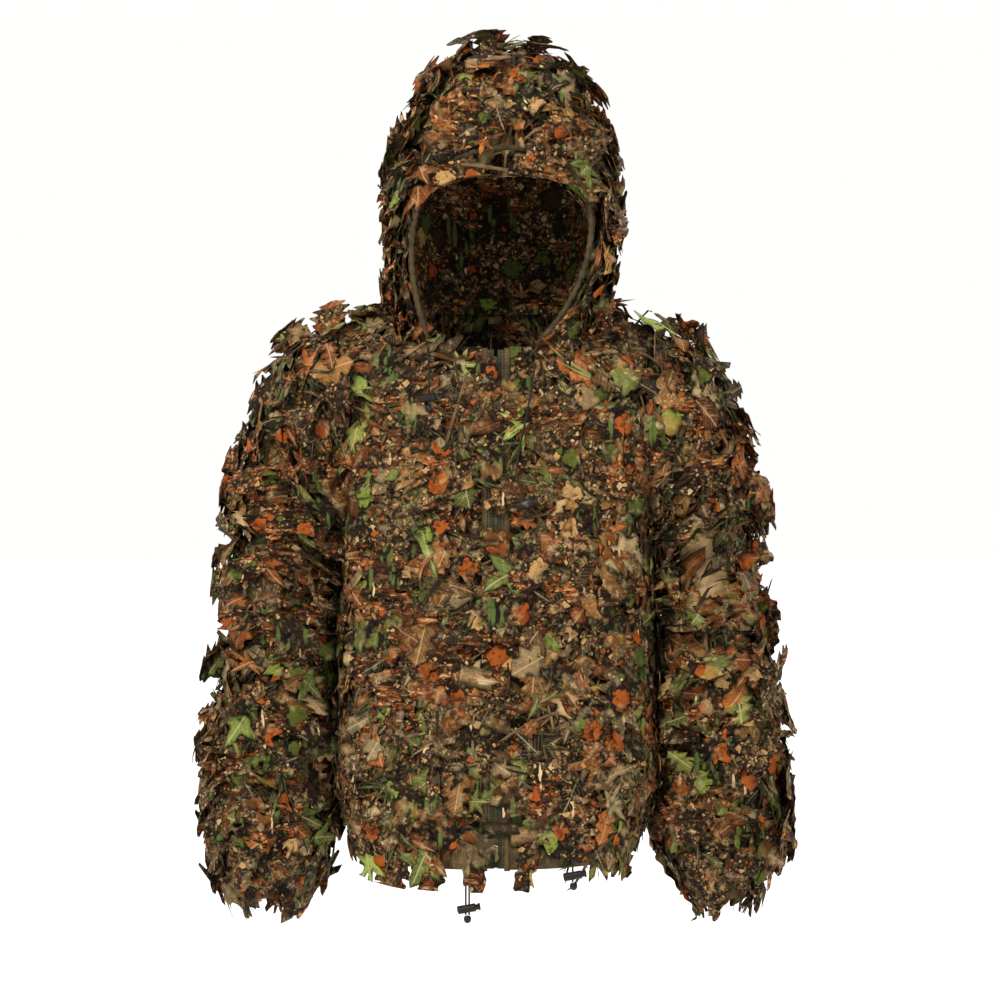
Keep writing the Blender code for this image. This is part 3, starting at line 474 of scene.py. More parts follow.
def woven_material(name, shade, dark, scale=700.0):
    """A close-woven tape or braid with threads, lighter on their ridges as a painted highlight."""
    paint = Paint(name)
    warp = paint.node("TexWave", 1, Vector=paint.coords, Scale=scale / 2, Distortion=1.0)
    weft = paint.node("TexWave", 1, Vector=paint.place(turn=QUARTER_TURN), Scale=scale / 2, Distortion=1.0)
    thread = paint.times(warp, weft)
    stain = paint.noise(60.0, 5.0)
    base = paint.over(dark, shade, paint.step(stain, 0.30, 0.62))
    # painted highlight: the raised crowns of the threads, where the bump rises, are mixed towards cream
    base = paint.over(base, paint.over(shade, CREAM, 0.22), paint.times(thread, 0.30))
    paint.bump(thread, 0.35, 0.0006)
    return paint.done(base, paint.maths("ADD", 0.70, paint.times(stain, 0.25)), specular=0.10)


def hard_material(name, shade, roughness, metallic=0.0, wear=0.08, scale=240.0, specular=0.3):
    """Moulded plastic or painted metal, with a fine grain and rubbed patches."""
    paint = Paint(name)
    grain = paint.noise(scale, 6.0)
    rubbed = paint.noise(scale * 0.22, 3.0)
    base = paint.over(shade, paint.over(shade, WHITE, wear), paint.step(rubbed, 0.52, 0.72))
    paint.bump(grain, 0.12, 0.0004)
    rough = paint.maths("ADD", roughness - 0.12, paint.times(grain, 0.24))
    return paint.done(base, rough, metallic, specular=specular)


PRINTED = litter_material("printed_mesh", 0.5)
SHEER = litter_material("printed_mesh_sheer", 0.5, patches=SHEER_PATCHES)
FLAP = litter_material("printed_flap", tinted=True)
VEINED = leaf_material("leaf_veined")
PLAIN = leaf_material("leaf_plain", veins=False)
STREAKED = leaf_material("bark_streaked", veins=False, streaks=True)
LEAF_MATERIALS = (FLAP, VEINED, PLAIN, STREAKED)
BRIM = woven_material("brim_weave", colour(60, 50, 33), colour(28, 23, 14))
BINDING = woven_material("binding_weave", colour(74, 60, 38), colour(38, 30, 18))
TAPE = woven_material("zip_tape_weave", colour(50, 47, 32), colour(29, 26, 18), 900.0)
TEETH = hard_material("zip_teeth_plastic", colour(52, 56, 34), 0.62, specular=0.15)
METAL = hard_material("slider_paint", colour(36, 33, 27), 0.44, 0.5, 0.2)
PLASTIC = hard_material("lock_plastic", colour(22, 17, 12), 0.46, specular=0.15)
STEEL = hard_material("spring_steel", colour(120, 120, 118), 0.30, 1.0)
BRAID = woven_material("cord_braid", colour(26, 24, 21), colour(11, 10, 9), 1100.0)
THREAD = woven_material("stitch_thread", colour(120, 104, 72), colour(84, 72, 50), 1500.0)


# ------------------------------------------------------------------ leaf shapes
class Shape:
    """A flat cut shape of unit length, attached at y = 0: points, faces, outline and inner share."""

    def __init__(self, points, faces, outlines, inside):
        self.points = np.asarray(points, float)
        self.faces, self.outlines = faces, outlines
        self.inside = np.asarray(inside, float)
        count = len(points)
        solid = list(faces)
        solid += [tuple(count + i for i in reversed(face)) for face in faces]
        for outline in outlines:
            for a, b in zip(outline, outline[1:] + outline[:1]):
                solid.append((b, a, count + a, count + b))
        self.loops = np.array([i for face in solid for i in face])
        self.sizes = np.array([len(face) for face in solid])


def spined_shape(widths, sway=0.0, sweep=0.0):
    """Left edge, spine and right edge at each station; sweep carries lobes towards the tip."""
    stations = np.linspace(0, 1, len(widths))
    points, inside = [], []
    for y, width in zip(stations, widths):
        bend = sway * math.sin(math.pi * y)
        reach = y + sweep * width * (1 - y)
        points += [(bend - width, reach), (bend, y), (bend + width, reach)]
        inside += [0.0, min(1.0, width * 4), 0.0]
    faces = []
    for k in range(len(widths) - 1):
        a = 3 * k
        faces += [(a, a + 1, a + 4, a + 3), (a + 1, a + 2, a + 5, a + 4)]
    last = 3 * (len(widths) - 1)
    left, right = list(range(0, last + 1, 3)), list(range(2, last + 3, 3))
    outline = left[::-1] + [1] + right + [last + 1]
    return Shape(points, faces, [outline], inside)


def lobed_shape(lobes, count=30, middle=0.38, core=0.16):
    """Lobes round a middle point, each given as (angle from the tip, length, width)."""
    angles = np.linspace(-np.pi, np.pi, count, endpoint=False)
    radius = np.full(count, core)
    for angle, length, width in lobes:
        off = np.abs((angles - angle + np.pi) % (2 * np.pi) - np.pi)
        radius = np.maximum(radius, core + (length - core) * np.exp(-(off / width) ** 2))
    points, inside = [(0.0, middle)], [1.0]
    for share, depth in ((0.55, 0.6), (1.0, 0.0)):
        points += [(r * share * math.sin(a), middle + r * share * math.cos(a))
                   for a, r in zip(angles, radius)]
        inside += [depth] * count
    faces = []
    for k in range(count):
        n = (k + 1) % count
        faces += [(0, 1 + n, 1 + k), (1 + k, 1 + n, 1 + count + n, 1 + count + k)]
    return Shape(points, faces, [list(range(1 + count, 1 + 2 * count))[::-1]], inside)


def bunch(parts):
    """Several shapes as one, each given as (shape, length, turn, x, y)."""
    points, faces, outlines, inside = [], [], [], []
    for shape, length, turn, x, y in parts:
        start = sum(len(p) for p in points)
        c, s = math.cos(turn), math.sin(turn)
        flat = shape.points * length
        points.append(np.stack([x + flat[:, 0] * c - flat[:, 1] * s,
                                y + flat[:, 0] * s + flat[:, 1] * c], 1))
        faces += [tuple(start + i for i in face) for face in shape.faces]
        outlines += [[start + i for i in outline] for outline in shape.outlines]
        inside.append(shape.inside)
    return Shape(np.concatenate(points), faces, outlines, np.concatenate(inside))


def oak_widths(count, lobes, depth, wide):
    y = np.linspace(0, 1, count)
    body = wide * np.sin(np.pi * np.clip(y, 0.02, 0.99) ** 0.8) ** 0.55
    return np.maximum(body * (1 - depth * (0.5 + 0.5 * np.cos(2 * np.pi * lobes * y))), 0.012)


OAK = spined_shape(oak_widths(19, 4, 0.52, 0.30), sweep=0.5)
OAK_WIDE = spined_shape(oak_widths(15, 3, 0.45, 0.38), 0.05, 0.4)
OVATE = spined_shape(np.maximum(0.27 * np.sin(np.pi * np.linspace(0, 1, 10) ** 0.85) ** 0.8, 0.010), 0.04)
WILLOW = spined_shape(np.maximum(0.13 * np.sin(np.pi * np.linspace(0, 1, 9)) ** 0.7, 0.008), 0.06)
MAPLE = lobed_shape([(0.0, 0.62, 0.24), (-1.0, 0.54, 0.22), (1.0, 0.54, 0.22), (-1.95, 0.38, 0.24),
                     (1.95, 0.38, 0.24)], 32)
THREE_LOBED = lobed_shape([(0.0, 0.62, 0.30), (-1.25, 0.46, 0.30), (1.25, 0.46, 0.30)], 26, core=0.20)
FLAP_SHAPES = (
    spined_shape(oak_widths(21, 4.4, 0.40, 0.34), 0.05, 0.7),
    spined_shape(oak_widths(19, 3.6, 0.46, 0.40), -0.06, 0.6),
    lobed_shape([(0.0, 0.62, 0.26), (-0.75, 0.58, 0.20), (0.8, 0.55, 0.20), (-1.6, 0.42, 0.22),
                 (1.65, 0.44, 0.22), (-2.5, 0.40, 0.2), (2.5, 0.40, 0.2)], 36, 0.42, 0.20),
    spined_shape(oak_widths(17, 3.2, 0.36, 0.30), -0.08, 0.8))
BLADE = spined_shape([0.030, 0.042, 0.036, 0.012], 0.04)
NEEDLE_TUFTS = tuple(bunch([(BLADE, 0.55 + 0.35 * math.sin(5 * k + seed), 0.95 * math.sin(2.1 * k + seed),
                             0.05 * math.sin(3 * k), 0.075 * k) for k in range(9)]) for seed in (0.0, 1.7))
TWIG_SHAPE = spined_shape([0.016, 0.021, 0.015, 0.020, 0.013, 0.016, 0.008], 0.05)
FORKED_TWIG = bunch([(TWIG_SHAPE, 1.0, 0.0, 0.0, 0.0), (TWIG_SHAPE, 0.45, -0.6, 0.02, 0.45),
                     (TWIG_SHAPE, 0.35, 0.7, 0.03, 0.25)])
BARK_SHAPE = spined_shape([0.03, 0.075, 0.095, 0.080, 0.10, 0.085, 0.095, 0.07, 0.04], 0.02)
CHIP_SHAPES = (spined_shape([0.05, 0.36, 0.20, 0.30, 0.04], 0.08), spined_shape([0.22, 0.14, 0.34, 0.05]),
               spined_shape([0.06, 0.22, 0.10, 0.16, 0.03], -0.1),
               lobed_shape([(0.3, 0.62, 0.35), (2.5, 0.5, 0.3), (-1.4, 0.5, 0.3)], 9, 0.45, 0.22))


def within(points):
    """Leaf tips that would leave the room around the jacket curl back along its edge."""
    soft = LIMIT_SOFT
    over = np.maximum(np.abs(points - LIMIT_MIDDLE) - (LIMIT_HALF - soft), 0)
    held = np.sign(points - LIMIT_MIDDLE) * (over - soft * np.tanh(over / soft))
    return points - held


class Batch:
    """Many thin cut pieces on one surface, gathered as one mesh."""

    def __init__(self, surface):
        self.surface = surface
        self.points, self.loops, self.sizes = [], [], []
        self.tints, self.owns, self.slots = [], [], []
        self.count = 0

    def add(self, shape, u, v, size, turn, lift, height, tint, slot, curl=0.0, droop=0.0, twist=0.0):
        """Pieces at (u, v): turned from straight down, tip lifted by an angle off the cloth."""
        total = len(u)
        if not total:
            return
        surface = self.surface
        size, turn, lift, height, curl, droop, twist = (
            np.broadcast_to(np.asarray(a, float), (total,))[:, None]
            for a in (size, turn, lift, height, curl, droop, twist))
        x, y = shape.points[:, 0][None], shape.points[:, 1][None]
        ripple = 0.04 * np.sin(9 * y + 40 * turn) * (1 - shape.inside[None])
        roll = twist * np.clip(y * 2.5, 0, 1)
        rise = curl * x ** 2 * 4 + ripple
        wide, rise = x * np.cos(roll) - rise * np.sin(roll), x * np.sin(roll) + rise * np.cos(roll)
        lx = wide * size
        ly = size * (y * np.cos(lift) - rise * np.sin(lift))
        lz = height + size * (np.sin(lift) * y * (1 - droop * y) + rise * np.cos(lift))
        lz = surface.cap * np.tanh(np.maximum(lz, 0.45 * height) / surface.cap)
        cosine, sine = np.cos(turn), np.sin(turn)
        across, along = lx * cosine - ly * sine, lx * sine + ly * cosine
        pu = surface.read(surface.du, u, v)
        pv = surface.read(surface.dv, u, v)
        normal = surface.normal(u, v)
        down = np.array((0.0, 0.0, -1.0)) + 0.35 * normal + 1e-6
        down = down - normal * (down * normal).sum(1, keepdims=True)
        flat = np.linalg.norm(down, axis=1, keepdims=True)
        down = np.where(flat > 0.12, down / np.maximum(flat, 1e-9), unit(pv))
        side = np.cross(down, normal)
        move = across[..., None] * side[:, None] + along[..., None] * down[:, None]
        uu, uv, vv = (pu * pu).sum(1), (pu * pv).sum(1), (pv * pv).sum(1)
        det = np.maximum(uu * vv - uv ** 2, 1e-12)[:, None]
        mu, mv = (move * pu[:, None]).sum(2), (move * pv[:, None]).sum(2)
        du = (mu * vv[:, None] - mv * uv[:, None]) / det
        dv = (mv * uu[:, None] - mu * uv[:, None]) / det
        au, av = u[:, None] + np.clip(du, -0.35, 0.35), v[:, None] + np.clip(dv, -0.3, 0.3)
        if not surface.closed:
            au = np.clip(au, -surface.spill, 1.10)
        av = np.clip(av, -surface.back, surface.reach)
        base, out = surface.point(au, av), surface.normal(au, av)
        out = mix(out, normal[:, None], 0.5)
        out /= np.linalg.norm(out, axis=2, keepdims=True)
        top = base + out * (lz + LEAF_SHEET / 2)[..., None]
        low = base + out * (lz - LEAF_SHEET / 2)[..., None]
        top, low = within(top), within(low)
        points = np.concatenate([top, low], axis=1)
        many = points.shape[1]
        starts = self.count + many * np.arange(total)
        self.points.append(points.reshape(-1, 3))
        self.loops.append((shape.loops[None] + starts[:, None]).ravel())
        self.sizes.append(np.tile(shape.sizes, total))
        self.count += total * many
        tint = np.broadcast_to(np.asarray(tint, float), (total, 4))
        self.tints.append(np.repeat(tint, many, axis=0))
        own = np.stack([shape.points[:, 0], shape.points[:, 1], shape.inside], 1)
        self.owns.append(np.tile(np.concatenate([own, own]), (total, 1)))
        self.slots.append(np.full(total * len(shape.sizes), slot))

    def build(self, name):
        data = bpy.data.meshes.new(name)
        points = np.concatenate(self.points)
        loops, sizes = np.concatenate(self.loops), np.concatenate(self.sizes)
        data.vertices.add(len(points))
        data.vertices.foreach_set("co", points.ravel().astype(np.float32))
        data.loops.add(len(loops))
        data.loops.foreach_set("vertex_index", loops.astype(np.int32))
        data.polygons.add(len(sizes))
        starts = np.concatenate([[0], np.cumsum(sizes)[:-1]])
        data.polygons.foreach_set("loop_start", starts.astype(np.int32))
        for material in LEAF_MATERIALS:
            data.materials.append(material)
        data.polygons.foreach_set("material_index", np.concatenate(self.slots).astype(np.int32))
        data.attributes.new("tint", "FLOAT_COLOR", "POINT").data.foreach_set(
            "color", np.concatenate(self.tints).ravel().astype(np.float32))
        data.attributes.new("leaf", "FLOAT_VECTOR", "POINT").data.foreach_set(
            "vector", np.concatenate(self.owns).ravel().astype(np.float32))
        data.update(calc_edges=True)
        data.validate()
        made = bpy.data.objects.new(name, data)
        bpy.context.scene.collection.objects.link(made)
        return made


def tints(*shades):
    return np.array([colour(*shade) for shade in shades])


LEAF_TINTS = tints(
    (140, 74, 28), (156, 90, 36), (112, 58, 24), (166, 116, 62), (80, 54, 30), (164, 136, 94), (74, 76, 34),
    (94, 98, 44), (112, 116, 52), (138, 144, 74), (116, 98, 68), (124, 80, 38), (30, 21, 12), (48, 34, 20))
LEAF_ODDS = np.array([12, 9, 11, 7, 10, 9, 8, 8, 6, 3, 12, 10, 12, 12], float)
FEATURE_TINTS = tints(
    (132, 144, 66), (112, 126, 56), (168, 92, 36), (156, 80, 30), (150, 104, 52), (172, 146, 104),
    (92, 104, 46))
CHIP_TINTS = tints(
    (160, 142, 106), (146, 122, 84), (132, 106, 70), (104, 82, 56), (66, 48, 29), (36, 25, 14), (120, 62, 26),
    (150, 134, 104))
CHIP_ODDS = np.array([7, 12, 15, 16, 17, 18, 10, 2], float)
WOOD_TINTS = tints(
    (146, 116, 76), (176, 142, 96), (104, 78, 48), (206, 176, 124), (70, 52, 32), (150, 88, 36))
NEEDLE_TINTS = tints((50, 58, 30), (72, 80, 42), (96, 104, 58), (122, 126, 74), (60, 54, 30))


def pick(shades, count, odds=None):
    """Printed colours drawn by their odds, each darkened by its own random amount and all darkened further as
    painted shade in place of dimmer light.
    """
    odds = None if odds is None else odds / odds.sum()
    chosen = shades[RNG.choice(len(shades), count, p=odds)].copy()
    # random tone for each piece, plus an overall darkening that is painted shade standing in for dimmer light
    chosen[:, :3] *= RNG.uniform(0.34, 0.84, (count, 1))
    return chosen


def scatter(surface, spacing, keep=None):
    """Evenly jittered places, thinned where the grid narrows so that the cover stays even."""
    across = np.linalg.norm(surface.du, axis=2).max()
    along = np.linalg.norm(surface.dv, axis=2).mean()
    nu, nv = max(2, int(across / spacing)), max(2, int(along / spacing))
    u, v = np.meshgrid(np.arange(nu), np.arange(nv), indexing="ij")
    u = (u.ravel() + RNG.uniform(0, 1, nu * nv)) / nu
    v = (v.ravel() + RNG.uniform(0, 1, nu * nv)) / nv
    width = np.linalg.norm(surface.read(surface.du, u, v), axis=1) / across
    chosen = RNG.uniform(0, 1, len(u)) < width
    if keep is not None:
        chosen &= keep(surface, u, v)
    order = RNG.permutation(np.flatnonzero(chosen))
    return u[order], v[order]


# where hood cords lie on the chest, as (x, z) runs, and where the zip shows between the leaves
CORD_RUNS = (((-0.080, -0.014), (-0.080, -0.088)), ((0.049, -0.020), (0.025, -0.166)),
             ((0.025, -0.166), (0.038, -0.216)))
ZIP_WINDOWS = ((-0.090, -0.050), (-0.152, -0.110), (-0.236, -0.172), (-0.440, -0.296), (-0.572, -0.545),
               (-0.650, -0.600))


def calm(points):
    """1 where flaps stand free, small where they lie flat: at the cords and between arm and body."""
    x, y, z = points[:, 0], points[:, 1], points[:, 2]
    share = np.ones(len(points))
    for (ax, az), (bx, bz) in CORD_RUNS:
        run = np.array((bx - ax, bz - az))
        t = np.clip(((x - ax) * run[0] + (z - az) * run[1]) / (run @ run), 0, 1)
        away = np.hypot(x - ax - t * run[0], z - az - t * run[1])
        share = np.minimum(share, np.where(y < 0, np.clip((away - 0.010) / 0.030, 0.0, 1.0), 1.0))
    between = (np.abs(x) > 0.150) & (np.abs(x) < 0.232) & (z < -0.36)
    return np.where(between, share * 0.35, share)


def zip_clear(surface, u, v):
    """Leaves stay out of the way of the parts of the zip that show."""
    x, y, z = surface.point(u, v).T
    keep = np.ones(len(x), bool)
    for low, high in ZIP_WINDOWS:
        keep &= ~((np.abs(x) < 0.036) & (z > low) & (z < high + 0.045))
    return keep


def sheer_clear(surface, u, v):
    """Leaves stay off the bare patches of sheer cloth."""
    x, y, z = surface.point(u, v).T
    keep = np.ones(len(x), bool)
    for px, pz, size in SHEER_PATCHES:
        keep &= ~((np.hypot(x - px, z - pz) < 1.35 * size) & (y < 0))
    return keep


# a spread of turns this wide or wider lets leaves point anywhere
ANY_WAY = 4


def cover(batch, density=1.0, jut=1.0, keep=None):
    """All the layers of cut leaf cloth on one surface."""
    surface = batch.surface

    def layer(shapes, spacing, sizes, turn, lift, height, palette, slot, curl=(0, 0), droop=(0, 0.3),
              twist=0.12):
        u, v = scatter(surface, spacing / math.sqrt(density), keep)
        for k, shape in enumerate(shapes):
            a, b = u[k::len(shapes)], v[k::len(shapes)]
            n = len(a)
            spin = RNG.normal(0, turn, n) if turn < ANY_WAY else RNG.uniform(-math.pi, math.pi, n)
            flat = calm(surface.point(a, b))
            batch.add(shape, a, b, RNG.uniform(*sizes, n), spin, RNG.uniform(*lift, n) * jut * flat,
                      RNG.uniform(*height, n) * mix(0.6, 1.0, flat), pick(palette[0], n, palette[1]), slot,
                      RNG.uniform(*curl, n), RNG.uniform(*droop, n), RNG.uniform(-twist, twist, n) * flat)

    leaves, open_out = (LEAF_TINTS, LEAF_ODDS), jut ** 0.5
    layer(FLAP_SHAPES, 0.0265, (0.058, 0.088), 0.9, (0.05, 0.62), (0.0010, 0.0050), leaves, 0, (-0.1, 0.35))
    layer(FLAP_SHAPES, 0.036 / open_out, (0.060, 0.092), 1.3, (0.45, 1.25), (0.0020, 0.0060), leaves, 0,
          (-0.2, 0.5), (0, 0.15), 1.1)
    layer((OAK, MAPLE, OAK_WIDE, THREE_LOBED), 0.056 / open_out, (0.042, 0.064), 1.5, (0.35, 1.15),
          (0.0040, 0.0100), leaves, 1, (-0.2, 0.4), (0, 0.15), 1.0)
    layer(CHIP_SHAPES, 0.0165, (0.008, 0.020), ANY_WAY, (-0.1, 0.3), (0.0035, 0.0110),
          (CHIP_TINTS, CHIP_ODDS), 2)
    layer((OAK, OAK_WIDE, OVATE, MAPLE, THREE_LOBED, OAK_WIDE), 0.0300, (0.034, 0.060), 1.3, (0.03, 0.38),
          (0.0040, 0.0110), leaves, 1, (-0.15, 0.35))
    layer((WILLOW, OVATE), 0.033, (0.016, 0.032), 1.6, (0.05, 0.35), (0.0050, 0.0120), leaves, 1)
    layer((TWIG_SHAPE, FORKED_TWIG), 0.030, (0.055, 0.115), ANY_WAY, (-0.03, 0.10), (0.0070, 0.0135),
          (WOOD_TINTS, None), 3)
    layer((MAPLE, OAK_WIDE, THREE_LOBED), 0.066, (0.050, 0.078), 1.2, (0.02, 0.30), (0.0085, 0.0135),
          (FEATURE_TINTS, None), 1, (-0.1, 0.3))
    layer(NEEDLE_TUFTS, 0.042, (0.034, 0.052), 1.5, (0.0, 0.30), (0.0060, 0.0130), (NEEDLE_TINTS, None), 2)
    u, v = scatter(surface, 0.048 / math.sqrt(density), keep)
    n = len(u)
    batch.add(BARK_SHAPE, u, v, RNG.uniform(0.065, 0.130, n),
              RNG.normal(1.45, 0.22, n) * RNG.choice((-1, 1), n), RNG.uniform(-0.02, 0.05, n),
              RNG.uniform(0.0060, 0.0115, n), pick(WOOD_TINTS, n), 3)


# ------------------------------------------------------------------ cloth, tapes and cords
def mesh_object(name, points, faces, material, smooth=True):
    data = bpy.data.meshes.new(name)
    data.from_pydata([tuple(p) for p in points], [], [tuple(int(i) for i in f) for f in faces])
    data.materials.append(material)
    data.update()
    if smooth:
        data.shade_smooth()
        data.set_sharp_from_angle(angle=math.radians(50))
    made = bpy.data.objects.new(name, data)
    bpy.context.scene.collection.objects.link(made)
    return made


def solid(name, points, faces, material, smooth=True):
    """A closed mesh with all its faces turned outwards."""
    made = mesh_object(name, points, faces, material, smooth)
    work = bmesh.new()
    work.from_mesh(made.data)
    bmesh.ops.recalc_face_normals(work, faces=work.faces[:])
    work.to_mesh(made.data)
    work.free()
    return made


def tube_faces(count, sides, start=0):
    """Faces between rings of points that follow one another, and an end cap on each end ring."""
    faces = []
    for a in range(start, start + (count - 1) * sides, sides):
        b = a + sides
        faces += [(a + k, a + (k + 1) % sides, b + (k + 1) % sides, b + k) for k in range(sides)]
    last = start + (count - 1) * sides
    return faces + [tuple(range(start, start + sides)), tuple(range(last + sides - 1, last - 1, -1))]


def shell(surface, name, folds=0.0012):
    """The mesh ground cloth: a thin closed skin with small folds."""
    points = surface.points.copy()
    nu, nv = points.shape[:2]
    a = np.linspace(0, 2 * np.pi, nu)[:, None]
    b = np.linspace(0, 1, nv)[None]
    waves = np.sin(3 * a + 9 * b + len(name)) * np.sin(14 * b + 2 * np.sin(a)) + 0.5 * np.sin(5 * a - 23 * b)
    fade = np.sin(np.pi * b) ** 0.5 * (1 if surface.closed else np.sin(a / 2) ** 0.5)
    outer = points + surface.normals * (folds * waves * fade)[..., None]
    inner = outer - surface.normals * SHELL
    if surface.closed:
        outer, inner = outer[:-1], inner[:-1]
    cols = outer.shape[0]
    grid = np.arange(cols * nv).reshape(cols, nv)
    many = cols * nv
    faces = []
    wraps = cols if surface.closed else cols - 1
    for i in range(wraps):
        k = (i + 1) % cols
        for j in range(nv - 1):
            q = (grid[i, j], grid[k, j], grid[k, j + 1], grid[i, j + 1])
            faces += [q, tuple(many + x for x in reversed(q))]
        for j in (0, nv - 1):
            p, q = (grid[i, j], grid[k, j]) if j else (grid[k, j], grid[i, j])
            faces.append((p, q, many + q, many + p))
    if not surface.closed:
        for i in (0, cols - 1):
            for j in range(nv - 1):
                p, q = (grid[i, j + 1], grid[i, j]) if i else (grid[i, j], grid[i, j + 1])
                faces.append((p, q, many + q, many + p))
    points = np.concatenate([outer.reshape(-1, 3), inner.reshape(-1, 3)])
    sheer = name.startswith(("sleeve_cap_right", "sleeve_arm_right"))
    return solid(name, points, faces, SHEER if sheer else PRINTED)


def swept(name, path, sides_out, ups, profile, material, gather=None):
    """A closed profile carried along a path; profile is (out, up) offsets, gather scales them per station."""
    path = np.asarray(path, float)
    count, sides = len(path), len(profile)
    gather = np.ones((count, sides)) if gather is None else gather
    points = (path[:, None] + sides_out[:, None] * (profile[None, :, 0] * gather)[..., None]
              + ups[:, None] * profile[None, :, 1, None])
    return solid(name, points.reshape(-1, 3), tube_faces(count, sides), material)


def oval(out, up, sides=12, square=0.7):
    turns = np.linspace(0, 2 * np.pi, sides, endpoint=False)
    return np.stack([out * signed_power(np.cos(turns), square),
                     up * signed_power(np.sin(turns), square)], 1)


def resampled(path, step):
    """A path's points spaced evenly, one step apart."""
    path = np.asarray(path, float)
    along = np.concatenate([[0], np.cumsum(np.linalg.norm(np.diff(path, axis=0), axis=1))])
    count = max(2, int(round(along[-1] / step)) + 1)
    where = np.linspace(0, along[-1], count)
    return np.stack([np.interp(where, along, path[:, k]) for k in range(3)], 1)


def tube(name, path, radius, material, step=0.0008, sides=14, braid=0.05):
    """A round cord with the bumps of its braid."""
    path = resampled(catmull(path, np.linspace(0, len(path) - 1, 20 * len(path))), step)
    forward = unit(np.gradient(path, axis=0))
    side = unit(np.cross(forward, (1.0, 0.0, 0.0)))
    up = np.cross(side, forward)
    stations = np.arange(len(path))[:, None]
    turns = np.linspace(0, 2 * np.pi, sides, endpoint=False)[None]
    pattern = np.maximum(np.sin(3 * turns + stations * 1.1), np.sin(3 * turns - stations * 1.1))
    gather = 1 + braid * pattern
    ring = radius * np.stack([np.cos(turns[0]), np.sin(turns[0])], 1)
    points = (path[:, None] + side[:, None] * (ring[None, :, 0] * gather)[..., None]
              + up[:, None] * (ring[None, :, 1] * gather)[..., None])
    return solid(name, points.reshape(-1, 3), tube_faces(len(path), sides), material), path


def stitches(name, path, normals, length=0.0026, gap=0.0012, radius=0.00028, off=0.0):
    """A row of sewn stitches lying on a surface."""
    path = resampled(path, length + gap)
    index = np.linspace(0, len(normals) - 1, len(path))
    out = unit(np.stack([np.interp(index, np.arange(len(normals)), normals[:, k]) for k in range(3)], 1))
    forward = unit(np.gradient(path, axis=0))
    side = unit(np.cross(forward, out))
    points, faces = [], []
    for p, f, o, s in zip(path + out * off, forward, out, side):
        start = len(points)
        for share in (-0.5, -0.32, 0.32, 0.5):
            lift = radius * (1.3 if abs(share) < 0.4 else -0.6)
            for a in range(4):
                turn = math.pi / 4 + a * math.pi / 2
                points.append(p + f * length * share + o * (lift + radius * math.sin(turn))
                              + s * radius * 1.3 * math.cos(turn))
        faces += tube_faces(4, 4, start)
    return solid(name, points, faces, THREAD)


FRONTS = {name: front_surface(side) for name, side in SIDES.items()}
BACK = back_surface()
HOODS = {name: hood_surface(side) for name, side in SIDES.items()}
LOWER = {name: sleeve_surface(LOWER_SLEEVE, side) for name, side in SIDES.items()}
HALVES = {"_left": lambda surface, u, v: u < 0.5, "_right": lambda surface, u, v: u >= 0.5}


def cloth(surface, name, replaced, body=None, blend=None, density=1.0, jut=1.0, keep=None, parts=("",)):
    """Ground cloth with its leaf layer, in one or two parts, riding on a body, or left in place unparented
    where a blend is given.
    """
    ground = shell(surface, name + "_cloth")
    layers = []
    for part in parts:
        batch = Batch(surface)
        cover(batch, density, jut, HALVES.get(part, keep))
        layers.append(batch.build(name + part + "_leaves"))
    for piece in (ground, *layers):
        if blend:
            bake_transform(piece)
        else:
            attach(piece, body)
    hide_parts(*[n for n in replaced if "leaf" not in n])
    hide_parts(*[n for n in replaced if "leaf" in n])


for name in SIDES:
    FRONTS[name].spill, FRONTS[name].back = 0.14, 0.02
    HOODS[name].cap, LOWER[name].cap, LOWER[name].reach = 0.044, 0.046, 1.16
for name, side in SIDES.items():
    cloth(FRONTS[name], f"front_{name}", [f"front_panel_{name}", f"front_leaf_layer_{name}"], "jacket",
          jut=0.55, keep=zip_clear)
cloth(BACK, "back", ["back_panel", "back_leaf_layer"], "jacket", jut=0.62, density=0.82,
      parts=("_left", "_right"))


def face_clear(surface, u, v):
    """The hood's leaves stay back from the edge of the face opening, but for a few at the brow."""
    brow = (u > 0.62) & (RNG.uniform(0, 1, len(u)) < 0.75)
    return (v > 0.055) | brow


HOOD_BLEND = ("jacket", "hood", (0.0, 0.02, 0.005), (0.0, 0.02, 0.095))
for name, side in SIDES.items():
    upper_body, lower_body = f"upper_sleeve_{name}_body", f"lower_sleeve_{name}_body"
    shoulder = ("jacket", upper_body, (side * 0.194, 0, -0.186), (side * 0.2105, 0, -0.1873))
    elbow = (upper_body, lower_body, (side * 0.26, 0, -0.315), (side * 0.26, 0, -0.385))
    cap = sleeve_surface(UPPER_SLEEVE, side, 0.0, 4.2)
    arm = sleeve_surface(UPPER_SLEEVE, side, 4.2, 6.0)
    cap.back, cap.cap, arm.cap = 0.16, 0.046, 0.046
    cloth(HOODS[name], f"hood_{name}", [f"hood_panel_{name}", f"hood_leaf_layer_{name}"], blend=HOOD_BLEND,
          jut=1.05, keep=face_clear)
    cloth(cap, f"sleeve_cap_{name}", [f"upper_sleeve_{name}"], blend=shoulder, keep=sheer_clear)
    cloth(arm, f"sleeve_arm_{name}", [f"upper_sleeve_leaf_layer_{name}"], blend=elbow, keep=sheer_clear)
    cloth(LOWER[name], f"sleeve_fore_{name}", [f"lower_sleeve_{name}", f"lower_sleeve_leaf_layer_{name}"],
          blend=elbow)


# ------------------------------------------------------------------ hem, hood edge and cuffs
def gathers(count, sides, depth, waves, seed):
    """Uneven pleats along a casing, as a scale for each station and side of its profile."""
    rng = np.random.default_rng(seed)
    phase = np.cumsum(rng.uniform(0.7, 1.3, count)) * 2 * np.pi * waves / count
    ridge = np.sin(phase)[:, None] * depth + np.sin(2.3 * phase)[:, None] * depth * 0.4
    return 1 + ridge * np.ones((1, sides))


